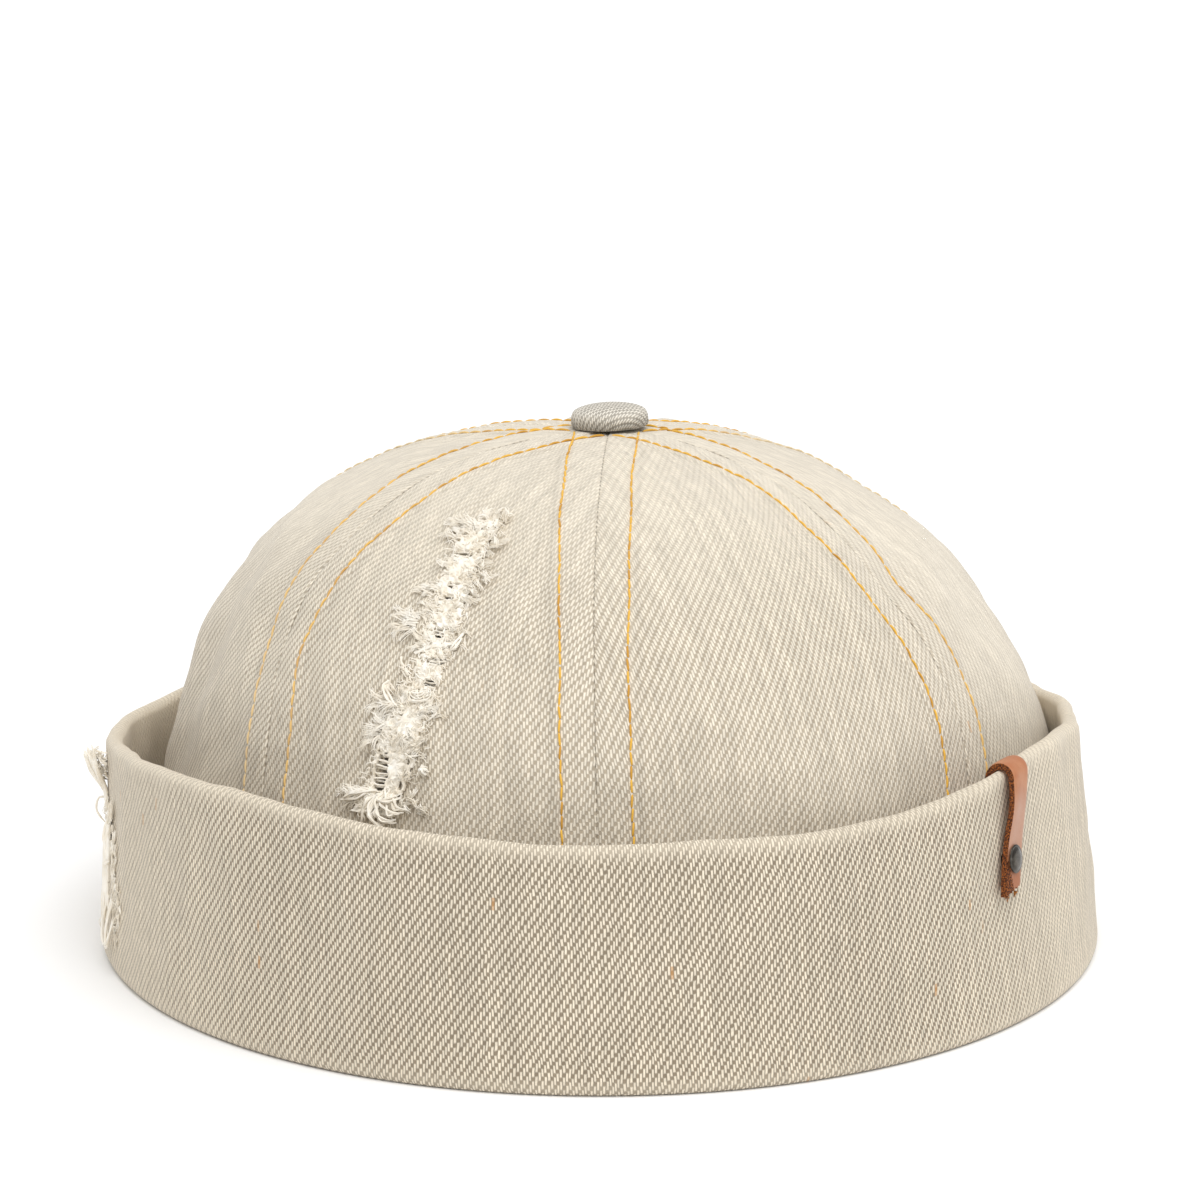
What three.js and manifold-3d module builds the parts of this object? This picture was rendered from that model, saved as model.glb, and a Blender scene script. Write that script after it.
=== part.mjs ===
// A brimless sailor cap: a crown of six denim gores, a doubled cuff turned up all round it,
// a cloth-covered button on top, a leather tab riveted over the cuff, and two frayed tears.
// Millimetres, +Z up. The front of the cap faces -Y. Left and right are as seen from the front: left is -X.
import * as THREE from 'three';
import { mergeVertices } from 'three/addons/utils/BufferGeometryUtils.js';
import Module from 'manifold-3d';

const wasm = await Module();
wasm.setup();

// Driving sizes
const GAP = 0.3; // clearance between neighbouring pieces
const HALF_WIDTH = 93; // outside of the cuff at its foot, left to right
const HALF_LENGTH = 104.2; // outside of the cuff at its foot, front to back
const CUFF_WALL = 3; // two layers of denim and the air between them
const CUFF_HEIGHT = 41.3; // mean height of the rim
const RIM_LEAN = 3.4; // how much narrower the rim is than the foot, each side
const RIM_SHIFT = -1.5; // the rim leans over to the left by this much
const RIM_ROUND = 1.5; // radius of the fold along the rim
const FOOT_THICK = 1.7; // the fold that the cap stands on
const FOOT_REACH = 6.4; // from the outside of the cuff in under the crown's lower edge
const SEAM_STRIP = 6.5; // seam allowance pressed open and topstitched, each side of a seam
const SEAM_PROUD = 0.5; // how far that strip stands above the field of a gore
const GORE_WALL = 2.1; // gore at its seam strips, 0.5 mm less in the field
const SEAM_GAP = 0.3; // clearance along each seam
const CROWN_SHIFT = 1.8; // the top of the crown lies this far to the right of its foot
const CROWN_TOP = 0.986; // where the gores end, round the shank of the button
const BUTTON_RADIUS = 7.05;
const BUTTON_HEIGHT = 4.1;
const BUTTON_TILT = 2; // degrees, lower on the left
const TAB_AZIMUTH = 54.2; // degrees from the front, towards the right
const TAB_WIDTH = 6.7;
const TAB_THICK = 1.4;
const TAB_OUTER_LEG = 20.7; // from the rim down to the tab's lower end
const TAB_INNER_LEG = 19;
const TAB_TILT = 16; // degrees by which the two legs run to the front on their way down
const TAB_LIFT = 0.9; // the slack fold stands above the rim
const TAB_ROOM = 0.65; // clearance of the inner leg, which is flat where the rim is curved
const RIVET_DROP = 14.8; // from the rim down to the rivet
const RIVET_RADIUS = 2.8;
const POST_RADIUS = 1;

// The crown from its lower edge to its top, as half widths and half lengths of the plan at each height.
// setback moves the widest place towards the back. seamL and seamR are the azimuths of the left and
// right side seams of the front gores. The last row mirrors the one below the top, so the top is level.
const CROWN = [
  { height: 3.1, left: 89.4, right: 89.4, front: 100.6, back: 100.6, setback: 0, seamL: -47, seamR: 48 },
  { height: 18.0, left: 84.7, right: 86.2, front: 94.5, back: 91.0, setback: 5, seamL: -47, seamR: 48.5 },
  { height: 35.0, left: 80.2, right: 84.0, front: 89.0, back: 84.5, setback: 8, seamL: -48, seamR: 50 },
  { height: 50.0, left: 76.3, right: 79.3, front: 82.5, back: 80.5, setback: 8, seamL: -50, seamR: 52 },
  { height: 62.0, left: 71.3, right: 71.2, front: 75.0, back: 74.0, setback: 7, seamL: -53, seamR: 53 },
  { height: 72.0, left: 64.4, right: 62.1, front: 66.5, back: 66.0, setback: 6, seamL: -54, seamR: 53 },
  { height: 80.0, left: 55.5, right: 50.2, front: 55.5, back: 55.5, setback: 5, seamL: -54, seamR: 55 },
  { height: 86.5, left: 44.0, right: 38.4, front: 42.5, back: 43.5, setback: 4, seamL: -55, seamR: 57 },
  { height: 91.2, left: 30.0, right: 24.8, front: 28.0, back: 28.5, setback: 2, seamL: -57, seamR: 57.5 },
  { height: 93.4, left: 15.0, right: 12.8, front: 14.0, back: 14.5, setback: 1, seamL: -59, seamR: 58 },
  { height: 94.0, left: 0, right: 0, front: 0, back: 0, setback: 0, seamL: -61, seamR: 58 },
  { height: 93.4, left: -15.0, right: -12.8, front: -14.0, back: -14.5, setback: -1, seamL: -62, seamR: 58 },
];
const BACK_SEAM = { lower: 112, upper: 120 }; // azimuths of the two back side seams
const FRONT_SEAM = -0.5; // azimuth of the front seam

// Soft dents in the crown. up is the place between the crown's lower edge, 0, and its top, 1.
// turn and rise are the dent's half spans in degrees and in up, and deep is inwards, in millimetres.
const CROWN_DENTS = [
  { azimuth: -76, up: 0.33, turn: 5, rise: 0.13, deep: 1.6 },
  { azimuth: -88, up: 0.3, turn: 6, rise: 0.14, deep: -0.9 },
  { azimuth: -58, up: 0.4, turn: 6, rise: 0.07, deep: 1.2 },
  { azimuth: 58, up: 0.5, turn: 9, rise: 0.05, deep: 1.3 },
  { azimuth: 73, up: 0.43, turn: 8, rise: 0.07, deep: 1.2 },
  { azimuth: 6, up: 0.24, turn: 8, rise: 0.05, deep: 0.8 },
  { azimuth: 32, up: 0.22, turn: 9, rise: 0.06, deep: -0.8 },
  { azimuth: 96, up: 0.3, turn: 9, rise: 0.1, deep: 1.4 },
  { azimuth: 150, up: 0.42, turn: 13, rise: 0.08, deep: 1.5 },
  { azimuth: -150, up: 0.34, turn: 12, rise: 0.07, deep: 1.3 },
  { azimuth: -128, up: 0.55, turn: 9, rise: 0.07, deep: 1.1 },
];

// The rim's height round the cap, from the front, 0, to the back, 180.
const RIM = [
  { azimuth: -180, height: 36.0 },
  { azimuth: -135, height: 35.6 },
  { azimuth: -105, height: 36.0 },
  { azimuth: -85, height: 38.5 },
  { azimuth: -62, height: 42.6 },
  { azimuth: -38, height: 43.9 },
  { azimuth: -20, height: 42.9 },
  { azimuth: 0, height: 41.6 },
  { azimuth: 20, height: 41.8 },
  { azimuth: 42, height: 42.7 },
  { azimuth: 62, height: 45.2 },
  { azimuth: 80, height: 43.4 },
  { azimuth: 105, height: 39.6 },
  { azimuth: 135, height: 37.0 },
  { azimuth: 180, height: 36.0 },
];

// Soft waves in the cuff's wall, outwards when out is above 0. up is the height over the rim's height.
const CUFF_WAVES = [
  { azimuth: -85, up: 0.6, turn: 8, rise: 0.3, out: -0.9 },
  { azimuth: 6, up: 0.6, turn: 9, rise: 0.3, out: -0.7 },
  { azimuth: 24, up: 0.75, turn: 8, rise: 0.3, out: 0.8 },
  { azimuth: -25, up: 0.95, turn: 6, rise: 0.3, out: 0.7 },
  { azimuth: 46, up: 0.5, turn: 6, rise: 0.45, out: 0.8 },
  { azimuth: 60, up: 0.45, turn: 6, rise: 0.45, out: -1.0 },
  { azimuth: 71, up: 0.35, turn: 4, rise: 0.45, out: 0.6 },
  { azimuth: 78, up: 0.9, turn: 6, rise: 0.35, out: 0.9 },
  { azimuth: 160, up: 0.7, turn: 12, rise: 0.4, out: -1.0 },
  { azimuth: -150, up: 0.7, turn: 11, rise: 0.4, out: 0.9 },
  { azimuth: -112, up: 0.8, turn: 9, rise: 0.4, out: -0.8 },
];

// The tear down the front left gore: its middle line, the fluff's reach to each side, and its loft.
const TEAR = [
  { azimuth: -23.5, up: 0.676, left: 2.6, right: 1.4, loft: 0.9 },
  { azimuth: -26.5, up: 0.632, left: 3.9, right: 2.2, loft: 1.7 },
  { azimuth: -26.0, up: 0.575, left: 3.0, right: 3.8, loft: 1.2 },
  { azimuth: -25.6, up: 0.52, left: 5.4, right: 2.8, loft: 1.8 },
  { azimuth: -25.3, up: 0.47, left: 3.6, right: 3.2, loft: 1.2 },
  { azimuth: -25.1, up: 0.42, left: 3.0, right: 2.6, loft: 1.0 },
  { azimuth: -25.5, up: 0.365, left: 5.6, right: 3.4, loft: 1.9 },
  { azimuth: -26.6, up: 0.315, left: 4.4, right: 4.8, loft: 1.5 },
  { azimuth: -28.4, up: 0.272, left: 5.2, right: 6.2, loft: 1.6 },
  { azimuth: -30.4, up: 0.236, left: 5.0, right: 6.8, loft: 2.2 },
];
const SLOT_HALF = 2; // half the width of the opening that the tear leaves in the gore
const LOCK_RADIUS = 0.8;
const LOCK_LENGTH = 4.2;
const PAD_EDGE = 0.4; // a pad of fluff thins to this share of its loft at its two sides

// The fluffed wear line down the left side of the cuff, from the rim to near the foot. sweep is how far
// the tips of its locks lie above their roots, or below them under 0.
const WEAR_AZIMUTH = -83;
const WEAR = [
  { height: 37.6, left: 2.2, right: 1.6, loft: 3.8, sweep: 2.0 },
  { height: 34.0, left: 2.8, right: 2.0, loft: 3.4, sweep: 3.2 },
  { height: 30.4, left: 2.4, right: 2.0, loft: 1.7, sweep: 3.0 },
  { height: 26.5, left: 2.0, right: 1.8, loft: 0.8, sweep: -3.0 },
  { height: 22.0, left: 2.0, right: 1.8, loft: 0.6, sweep: -3.0 },
  { height: 17.0, left: 2.2, right: 1.8, loft: 0.6, sweep: -3.0 },
  { height: 11.5, left: 3.0, right: 2.8, loft: 0.9, sweep: -3.4 },
  { height: 6.0, left: 2.4, right: 2.4, loft: 0.7, sweep: -3.0 },
];

// Colours and finishes
const denim = new THREE.MeshStandardMaterial({ color: 0xd9cfb8, roughness: 0.95, metalness: 0 });
const cuffDenim = new THREE.MeshStandardMaterial({ color: 0xcdc2aa, roughness: 0.95, metalness: 0 });
const buttonCloth = new THREE.MeshStandardMaterial({ color: 0xc3bcab, roughness: 0.95, metalness: 0 });
const leather = new THREE.MeshStandardMaterial({ color: 0xc18259, roughness: 0.6, metalness: 0 });
const gunmetal = new THREE.MeshStandardMaterial({ color: 0x4c463f, roughness: 0.4, metalness: 0.8 });
const fluff = new THREE.MeshStandardMaterial({ color: 0xefe8da, roughness: 1, metalness: 0 });

// Interpolation along a table

// A smooth curve through one column. at runs from 0, the first row, to last, whole numbers being rows.
function curveThrough(rows, column, at, last) {
  const index = Math.min(Math.floor(Math.max(at, 0)), last - 1);
  const w = at - index;
  const p1 = rows[index][column];
  const p2 = rows[index + 1][column];
  const p0 = index > 0 ? rows[index - 1][column] : 2 * p1 - p2;
  const p3 = index + 2 < rows.length ? rows[index + 2][column] : 2 * p2 - p1;
  const bend = 2 * p0 - 5 * p1 + 4 * p2 - p3;
  const twist = -p0 + 3 * p1 - 3 * p2 + p3;
  return 0.5 * (2 * p1 + (p2 - p0) * w + bend * w * w + twist * w * w * w);
}

// The place of value in a table whose key column rises or falls all the way.
function placeOf(rows, key, value) {
  const rising = rows[1][key] > rows[0][key];
  let index = 0;
  while (index < rows.length - 2 && (rows[index + 1][key] < value) === rising) index += 1;
  const span = rows[index + 1][key] - rows[index][key];
  return index + THREE.MathUtils.clamp((value - rows[index][key]) / span, 0, 1);
}

// A round hump of height 1 at the middle of a dent or wave.
function hump(row, azimuth, up) {
  const turn = (THREE.MathUtils.euclideanModulo(azimuth - row.azimuth + 180, 360) - 180) / row.turn;
  const rise = (up - row.up) / row.rise;
  return Math.exp(-(turn * turn + rise * rise));
}

// Crown surface

const crownColumn = (column, up) => curveThrough(CROWN, column, up * (CROWN.length - 2), CROWN.length - 2);

// A point of the crown's outer form, as it would be with no seams or dents.
function crownForm(azimuth, up) {
  const turn = THREE.MathUtils.degToRad(azimuth);
  const side = Math.sin(turn);
  const ahead = Math.cos(turn);
  const across = crownColumn(side < 0 ? 'left' : 'right', up);
  const along = crownColumn(ahead > 0 ? 'front' : 'back', up);
  const setback = crownColumn('setback', up) * side * side;
  const x = CROWN_SHIFT * up + across * side;
  return new THREE.Vector3(x, setback - along * ahead, crownColumn('height', up));
}

// A point below that form by depth, along the form's own normal.
function crownPoint(azimuth, up, depth) {
  const step = 0.002;
  const here = crownForm(azimuth, up);
  const round = crownForm(azimuth + 1, up).sub(crownForm(azimuth - 1, up));
  const rise = crownForm(azimuth, up + step).sub(crownForm(azimuth, up - step));
  const normal = round.cross(rise).normalize();
  const dents = CROWN_DENTS.reduce((sum, dent) => sum + dent.deep * hump(dent, azimuth, up), 0);
  return here.addScaledVector(normal, -(depth + dents));
}

// Millimetres round the crown for one degree of azimuth.
function crownDegree(up) {
  const sides = ['left', 'right', 'front', 'back'];
  const mean = sides.reduce((sum, column) => sum + crownColumn(column, up) / sides.length, 0);
  return THREE.MathUtils.degToRad(mean);
}

// Cuff surface

function rimHeight(azimuth) {
  return curveThrough(RIM, 'height', placeOf(RIM, 'azimuth', azimuth), RIM.length - 1);
}

// A point of the cuff, inset from its outer face.
function cuffPoint(azimuth, height, inset) {
  const turn = THREE.MathUtils.degToRad(azimuth);
  const lean = height / CUFF_HEIGHT;
  const up = height / rimHeight(azimuth);
  const waves = CUFF_WAVES.reduce((sum, wave) => sum + wave.out * hump(wave, azimuth, up), 0);
  const outward = waves * Math.min(1, Math.max(0, up)) - RIM_LEAN * lean - inset;
  const x = RIM_SHIFT * lean + (HALF_WIDTH + outward) * Math.sin(turn);
  return new THREE.Vector3(x, -(HALF_LENGTH + outward) * Math.cos(turn), height);
}

// Closed bodies from grids of points

function geometryOf(points, triangles) {
  const geometry = new THREE.BufferGeometry().setFromPoints(points);
  geometry.setIndex(triangles);
  return geometry;
}

// A slab between two grids of the same size. outer is seen with its rows going up and columns going right.
function slab(outer, inner) {
  const rows = outer.length;
  const columns = outer[0].length;
  const points = [...outer.flat(), ...inner.flat()];
  const triangles = [];
  const out = (row, column) => row * columns + column;
  const inn = (row, column) => rows * columns + row * columns + column;
  const quad = (a, b, c, d) => triangles.push(a, b, c, a, c, d);
  for (let row = 0; row < rows - 1; row += 1) {
    for (let column = 0; column < columns - 1; column += 1) {
      quad(out(row, column), out(row, column + 1), out(row + 1, column + 1), out(row + 1, column));
      quad(inn(row, column), inn(row + 1, column), inn(row + 1, column + 1), inn(row, column + 1));
    }
    quad(out(row, 0), out(row + 1, 0), inn(row + 1, 0), inn(row, 0));
    const end = columns - 1;
    quad(out(row, end), inn(row, end), inn(row + 1, end), out(row + 1, end));
  }
  for (let column = 0; column < columns - 1; column += 1) {
    const top = rows - 1;
    quad(out(0, column), inn(0, column), inn(0, column + 1), out(0, column + 1));
    quad(out(top, column), out(top, column + 1), inn(top, column + 1), inn(top, column));
  }
  return geometryOf(points, triangles);
}

// A closed ring whose section is a loop of points, one section for each azimuth.
function ring(sections) {
  const count = sections[0].length;
  const triangles = [];
  sections.forEach((section, index) => {
    const next = (index + 1) % sections.length;
    for (let corner = 0; corner < count; corner += 1) {
      const following = (corner + 1) % count;
      const a = index * count + corner;
      const b = next * count + corner;
      const c = next * count + following;
      const d = index * count + following;
      triangles.push(a, b, c, a, c, d);
    }
  });
  return geometryOf(sections.flat(), triangles);
}

// Booleans

function solidOf(geometry) {
  const bare = geometry.clone();
  bare.deleteAttribute('normal');
  bare.deleteAttribute('uv');
  const merged = mergeVertices(bare, 1e-4);
  const vertProperties = new Float32Array(merged.attributes.position.array);
  const triVerts = new Uint32Array(merged.index.array);
  return new wasm.Manifold(new wasm.Mesh({ numProp: 3, vertProperties, triVerts }));
}

function geometryOfSolid(solid) {
  const { vertProperties, triVerts } = solid.getMesh();
  const geometry = new THREE.BufferGeometry();
  geometry.setAttribute('position', new THREE.Float32BufferAttribute(vertProperties, 3));
  geometry.setIndex(Array.from(triVerts));
  return geometry;
}

const fused = (geometries) => geometries.map(solidOf).reduce((sum, solid) => sum.add(solid));

function meshOf(name, geometry, material) {
  geometry.computeVertexNormals();
  const mesh = new THREE.Mesh(geometry, material);
  mesh.name = name;
  return mesh;
}

// Gores

const GORE_ROWS = 20;
const FIELD_COLUMNS = 5;
const STRIP_STEP = 1.1; // the slope from a seam strip down to the field is this wide
const STRIP_SHARE = 0.3; // near the button a strip narrows to this share of its gore
const FIELD_SHARE = 0.36;

// Fractions across a gore of the given width: seam strip, field, seam strip.
function goreColumns(width) {
  const edge = SEAM_GAP / 2 / width;
  const strip = Math.min(SEAM_STRIP / width, STRIP_SHARE);
  const field = Math.min((SEAM_STRIP + STRIP_STEP) / width, FIELD_SHARE);
  const columns = [
    { across: edge, depth: 0 },
    { across: strip, depth: 0 },
  ];
  for (let index = 0; index < FIELD_COLUMNS + 2; index += 1) {
    const across = THREE.MathUtils.lerp(field, 1 - field, index / (FIELD_COLUMNS + 1));
    columns.push({ across, depth: SEAM_PROUD });
  }
  columns.push({ across: 1 - strip, depth: 0 });
  columns.push({ across: 1 - edge, depth: 0 });
  return columns;
}

function gore(fromSeam, toSeam) {
  const outer = [];
  const inner = [];
  for (let row = 0; row < GORE_ROWS; row += 1) {
    const up = (CROWN_TOP * row) / (GORE_ROWS - 1);
    const from = fromSeam(up);
    const to = toSeam(up);
    const columns = goreColumns((to - from) * crownDegree(up));
    const azimuthOf = (column) => THREE.MathUtils.lerp(from, to, column.across);
    outer.push(columns.map((column) => crownPoint(azimuthOf(column), up, column.depth)));
    inner.push(columns.map((column) => crownPoint(azimuthOf(column), up, GORE_WALL)));
  }
  return slab(outer, inner);
}

const frontSeam = () => FRONT_SEAM;
const leftFrontSeam = (up) => crownColumn('seamL', up);
const rightFrontSeam = (up) => crownColumn('seamR', up);
const rightBackSeam = (up) => THREE.MathUtils.lerp(BACK_SEAM.lower, BACK_SEAM.upper, up);
const leftBackSeam = (up) => -rightBackSeam(up);
const backSeamFromLeft = () => -180;
const backSeamFromRight = () => 180;

// Tear in the front left gore

// A strip along the tear. reach gives its half widths, top and bottom its depths below the crown's form.
function tearStrip(rows, reach, top, bottom) {
  const grid = (depthOf) => rows.map((row) => ACROSS.map((share) => {
    const side = share < 0 ? reach(row).left : reach(row).right;
    const azimuth = row.azimuth + (share * side) / crownDegree(row.up);
    return crownPoint(azimuth, row.up, depthOf(row, share));
  }));
  return slab(grid(top), grid(bottom));
}

// Rows of the tear from its lower end up, with both end rows drawn in along it by a share of their interval.
function tearRows(drawnIn) {
  const rows = [...TEAR].reverse();
  const last = rows.length - 1;
  const between = (row, next) => ({
    ...row,
    azimuth: THREE.MathUtils.lerp(row.azimuth, next.azimuth, drawnIn),
    up: THREE.MathUtils.lerp(row.up, next.up, drawnIn),
  });
  return [between(rows[0], rows[1]), ...rows.slice(1, last), between(rows[last], rows[last - 1])];
}

// Four points across a strip of fluff, from its left edge to its right.
const ACROSS = [-1, -0.4, 0.4, 1];
const padLoft = (row, share) => row.loft * (1 - (1 - PAD_EDGE) * Math.abs(share));

// The opening runs from well outside the gore to well inside it.
function tearSlot() {
  const beyond = 2;
  const half = { left: SLOT_HALF, right: SLOT_HALF };
  return tearStrip(tearRows(0), () => half, () => -beyond, () => GORE_WALL + beyond);
}

// The fluff: threads still bridging the slot, a ragged pad over its edges, and locks that stand off it.
function crownFray() {
  const drawnIn = 0.12;
  const threadsThick = 1.2;
  const lockRise = { least: 1.6, more: 0.3 };
  const lockDroop = 0.012;
  const lockReach = 1.5;
  const half = { left: SLOT_HALF - GAP, right: SLOT_HALF - GAP };
  const rows = tearRows(drawnIn);
  const ladder = tearStrip(rows, () => half, () => 0, () => SEAM_PROUD + threadsThick);
  const floor = SEAM_PROUD - GAP;
  const pad = tearStrip(rows, (row) => row, (row, share) => floor - padLoft(row, share), () => floor);
  const locks = rows.slice(1).flatMap((row, index) => [-1, 1].map((side) => {
    const reach = side < 0 ? row.left : row.right;
    const degree = crownDegree(row.up);
    const root = crownPoint(row.azimuth + (side * 0.5 * reach) / degree, row.up, floor - LOCK_RADIUS - GAP);
    const rise = lockRise.least + lockRise.more * (index % 4);
    const tipUp = row.up - lockDroop * (index % 3);
    const tip = crownPoint(row.azimuth + (side * (reach + lockReach)) / degree, tipUp, floor - rise);
    return lock(root, tip, LOCK_RADIUS);
  }));
  return fused([ladder, pad, ...locks]);
}

// A pointed lock of threads from its root towards its tip.
function lock(root, tip, radius) {
  const length = Math.min(root.distanceTo(tip), LOCK_LENGTH);
  const geometry = new THREE.ConeGeometry(radius, length, 5);
  const aim = tip.clone().sub(root).normalize();
  geometry.translate(0, length / 2, 0);
  geometry.applyQuaternion(new THREE.Quaternion().setFromUnitVectors(new THREE.Vector3(0, 1, 0), aim));
  geometry.translate(root.x, root.y, root.z);
  return geometry;
}

// Cuff and its wear line

const CUFF_SEGMENTS = 96;

function cuffSection(azimuth) {
  const rim = rimHeight(azimuth);
  const foldStart = rim - RIM_ROUND;
  const corner = RIM_ROUND * (1 - Math.SQRT1_2);
  const loop = [
    { inset: 1, height: 0 },
    { inset: 0, height: 1 },
    { inset: 0, height: 0.4 * rim },
    { inset: 0, height: 0.75 * rim },
    { inset: 0, height: foldStart },
    { inset: corner, height: rim - corner },
    { inset: RIM_ROUND, height: rim },
    { inset: CUFF_WALL - corner, height: rim - corner },
    { inset: CUFF_WALL, height: foldStart },
    { inset: CUFF_WALL, height: 0.5 * rim },
    { inset: CUFF_WALL, height: FOOT_THICK },
    { inset: FOOT_REACH, height: FOOT_THICK },
    { inset: FOOT_REACH, height: 0 },
  ];
  return loop.map(({ inset, height }) => cuffPoint(azimuth, height, inset));
}

function cuffRing() {
  const azimuths = Array.from({ length: CUFF_SEGMENTS }, (_, index) => -180 + (360 * index) / CUFF_SEGMENTS);
  return ring(azimuths.map(cuffSection));
}

function cuffFray() {
  const degree = THREE.MathUtils.degToRad(HALF_LENGTH);
  const rows = [...WEAR].reverse();
  const azimuthOf = (row, share) => WEAR_AZIMUTH + (share * (share < 0 ? row.left : row.right)) / degree;
  const grid = (outOf) => rows.map((row) => ACROSS.map((share) => (
    cuffPoint(azimuthOf(row, share), row.height, -outOf(row, share)))));
  const pad = slab(grid((row, share) => GAP + padLoft(row, share)), grid(() => GAP));
  const locks = rows.slice(1).map((row, index) => {
    const side = index % 2 ? 1 : -1;
    const radius = Math.min(LOCK_RADIUS, 0.6 * row.loft);
    const root = cuffPoint(azimuthOf(row, 0.4 * side), row.height, -(GAP + radius));
    const tip = cuffPoint(azimuthOf(row, 1.3 * side), row.height + row.sweep, -(GAP + row.loft));
    return lock(root, tip, radius);
  });
  return fused([pad, ...locks]);
}

// Button, with its shank through the gores' meeting point and the washer that holds it inside

function buttonGeometry() {
  const crownRise = 0.15; // the gores still rise a little from the button's edge to its middle
  const under = GAP + crownRise;
  const washerTop = -GORE_WALL - 2 * GAP;
  const washer = { radius: 4.5, thick: 0.8 };
  const shank = 1.3;
  const profile = [
    [0, washerTop - washer.thick],
    [washer.radius, washerTop - washer.thick],
    [washer.radius, washerTop],
    [shank, washerTop],
    [shank, under],
    [0.82 * BUTTON_RADIUS, under],
    [0.96 * BUTTON_RADIUS, under + 0.15 * BUTTON_HEIGHT],
    [BUTTON_RADIUS, under + 0.36 * BUTTON_HEIGHT],
    [0.95 * BUTTON_RADIUS, under + 0.62 * BUTTON_HEIGHT],
    [0.74 * BUTTON_RADIUS, under + 0.84 * BUTTON_HEIGHT],
    [0.4 * BUTTON_RADIUS, under + 0.96 * BUTTON_HEIGHT],
    [0, under + BUTTON_HEIGHT],
  ];
  return lathe(profile, 24);
}

// A turned body about +Z whose profile starts and ends on the axis, as pairs of radius and height.
function lathe(profile, segments) {
  const corners = profile.map(([radius, height]) => new THREE.Vector2(radius, height));
  const geometry = new THREE.LatheGeometry(corners, segments);
  geometry.rotateX(Math.PI / 2);
  return geometryOfSolid(solidOf(geometry));
}

// Tab: its section is a hairpin over the rim. Local x is outwards, y is up the wall, z runs along the rim
// to the front. The fold lies straight on the rim, and the legs slant to the front below it.

const TAB_SLANT = Math.tan(THREE.MathUtils.degToRad(TAB_TILT));

function hairpin() {
  const outerFace = GAP;
  const innerFace = -CUFF_WALL - TAB_ROOM;
  const roundOut = (outerFace - innerFace) / 2;
  const middle = (outerFace + innerFace) / 2;
  const shoulder = TAB_LIFT - roundOut;
  const shape = new THREE.Shape();
  shape.moveTo(outerFace, -TAB_OUTER_LEG);
  shape.lineTo(outerFace + TAB_THICK, -TAB_OUTER_LEG);
  shape.lineTo(outerFace + TAB_THICK, shoulder);
  shape.absarc(middle, shoulder, roundOut + TAB_THICK, 0, Math.PI, false);
  shape.lineTo(innerFace - TAB_THICK, -TAB_INNER_LEG);
  shape.lineTo(innerFace, -TAB_INNER_LEG);
  shape.lineTo(innerFace, shoulder);
  shape.absarc(middle, shoulder, roundOut, Math.PI, 0, true);
  const options = { depth: TAB_WIDTH, bevelEnabled: false, curveSegments: 8 };
  const geometry = new THREE.ExtrudeGeometry(shape, options);
  geometry.translate(0, 0, -TAB_WIDTH / 2);
  const slant = new THREE.Matrix4();
  slant.elements[6] = -TAB_SLANT;
  return geometry.applyMatrix4(slant);
}

// The rivet lies along local x: domed head outside, post, and a flat cap inside.
function rivetGeometry() {
  const headBase = 2 * GAP + TAB_THICK;
  const capBase = -CUFF_WALL - TAB_ROOM - TAB_THICK - GAP;
  const dome = 1.15;
  const cap = { radius: 2.3, thick: 0.6 };
  const profile = [
    [0, capBase - cap.thick],
    [cap.radius, capBase - cap.thick],
    [cap.radius, capBase],
    [POST_RADIUS, capBase],
    [POST_RADIUS, headBase],
    [RIVET_RADIUS, headBase],
    [RIVET_RADIUS, headBase + 0.3 * dome],
    [0.75 * RIVET_RADIUS, headBase + 0.8 * dome],
    [0, headBase + dome],
  ];
  const geometry = lathe(profile, 16);
  geometry.rotateY(Math.PI / 2);
  geometry.translate(0, -RIVET_DROP, RIVET_DROP * TAB_SLANT);
  return geometry;
}

function postHole() {
  const drill = 30; // longer than everything that the hole goes through
  const geometry = new THREE.CylinderGeometry(POST_RADIUS + GAP, POST_RADIUS + GAP, drill, 16);
  geometry.rotateZ(Math.PI / 2);
  geometry.translate(0, -RIVET_DROP, RIVET_DROP * TAB_SLANT);
  return geometry;
}

// Where the tab's local frame stands on the rim.
function tabFrame() {
  const top = cuffPoint(TAB_AZIMUTH, rimHeight(TAB_AZIMUTH), 0);
  const below = cuffPoint(TAB_AZIMUTH, rimHeight(TAB_AZIMUTH) - 20, 0);
  const alongRim = cuffPoint(TAB_AZIMUTH + 1, 30, 0).sub(cuffPoint(TAB_AZIMUTH - 1, 30, 0)).normalize();
  const up = top.clone().sub(below).normalize();
  const outward = new THREE.Vector3().crossVectors(alongRim, up).normalize();
  return new THREE.Matrix4().makeBasis(outward, up, alongRim.clone().negate()).setPosition(top);
}

// Assembly

const cap = new THREE.Group();

const slot = solidOf(tearSlot());
cap.add(
  meshOf('panel_front_left', geometryOfSolid(solidOf(gore(leftFrontSeam, frontSeam)).subtract(slot)), denim),
  meshOf('panel_left', gore(leftBackSeam, leftFrontSeam), denim),
  meshOf('panel_back_left', gore(backSeamFromLeft, leftBackSeam), denim),
  meshOf('panel_back_right', gore(rightBackSeam, backSeamFromRight), denim),
  meshOf('panel_right', gore(rightFrontSeam, rightBackSeam), denim),
  meshOf('panel_front_right', gore(frontSeam, rightFrontSeam), denim),
);
cap.add(meshOf('crown_fray', geometryOfSolid(crownFray()), fluff));
cap.add(meshOf('cuff_fray', geometryOfSolid(cuffFray()), fluff));

const tabPlace = tabFrame();
const cuffHole = solidOf(postHole().applyMatrix4(tabPlace));
cap.add(meshOf('cuff', geometryOfSolid(solidOf(cuffRing()).subtract(cuffHole)), cuffDenim));

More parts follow.
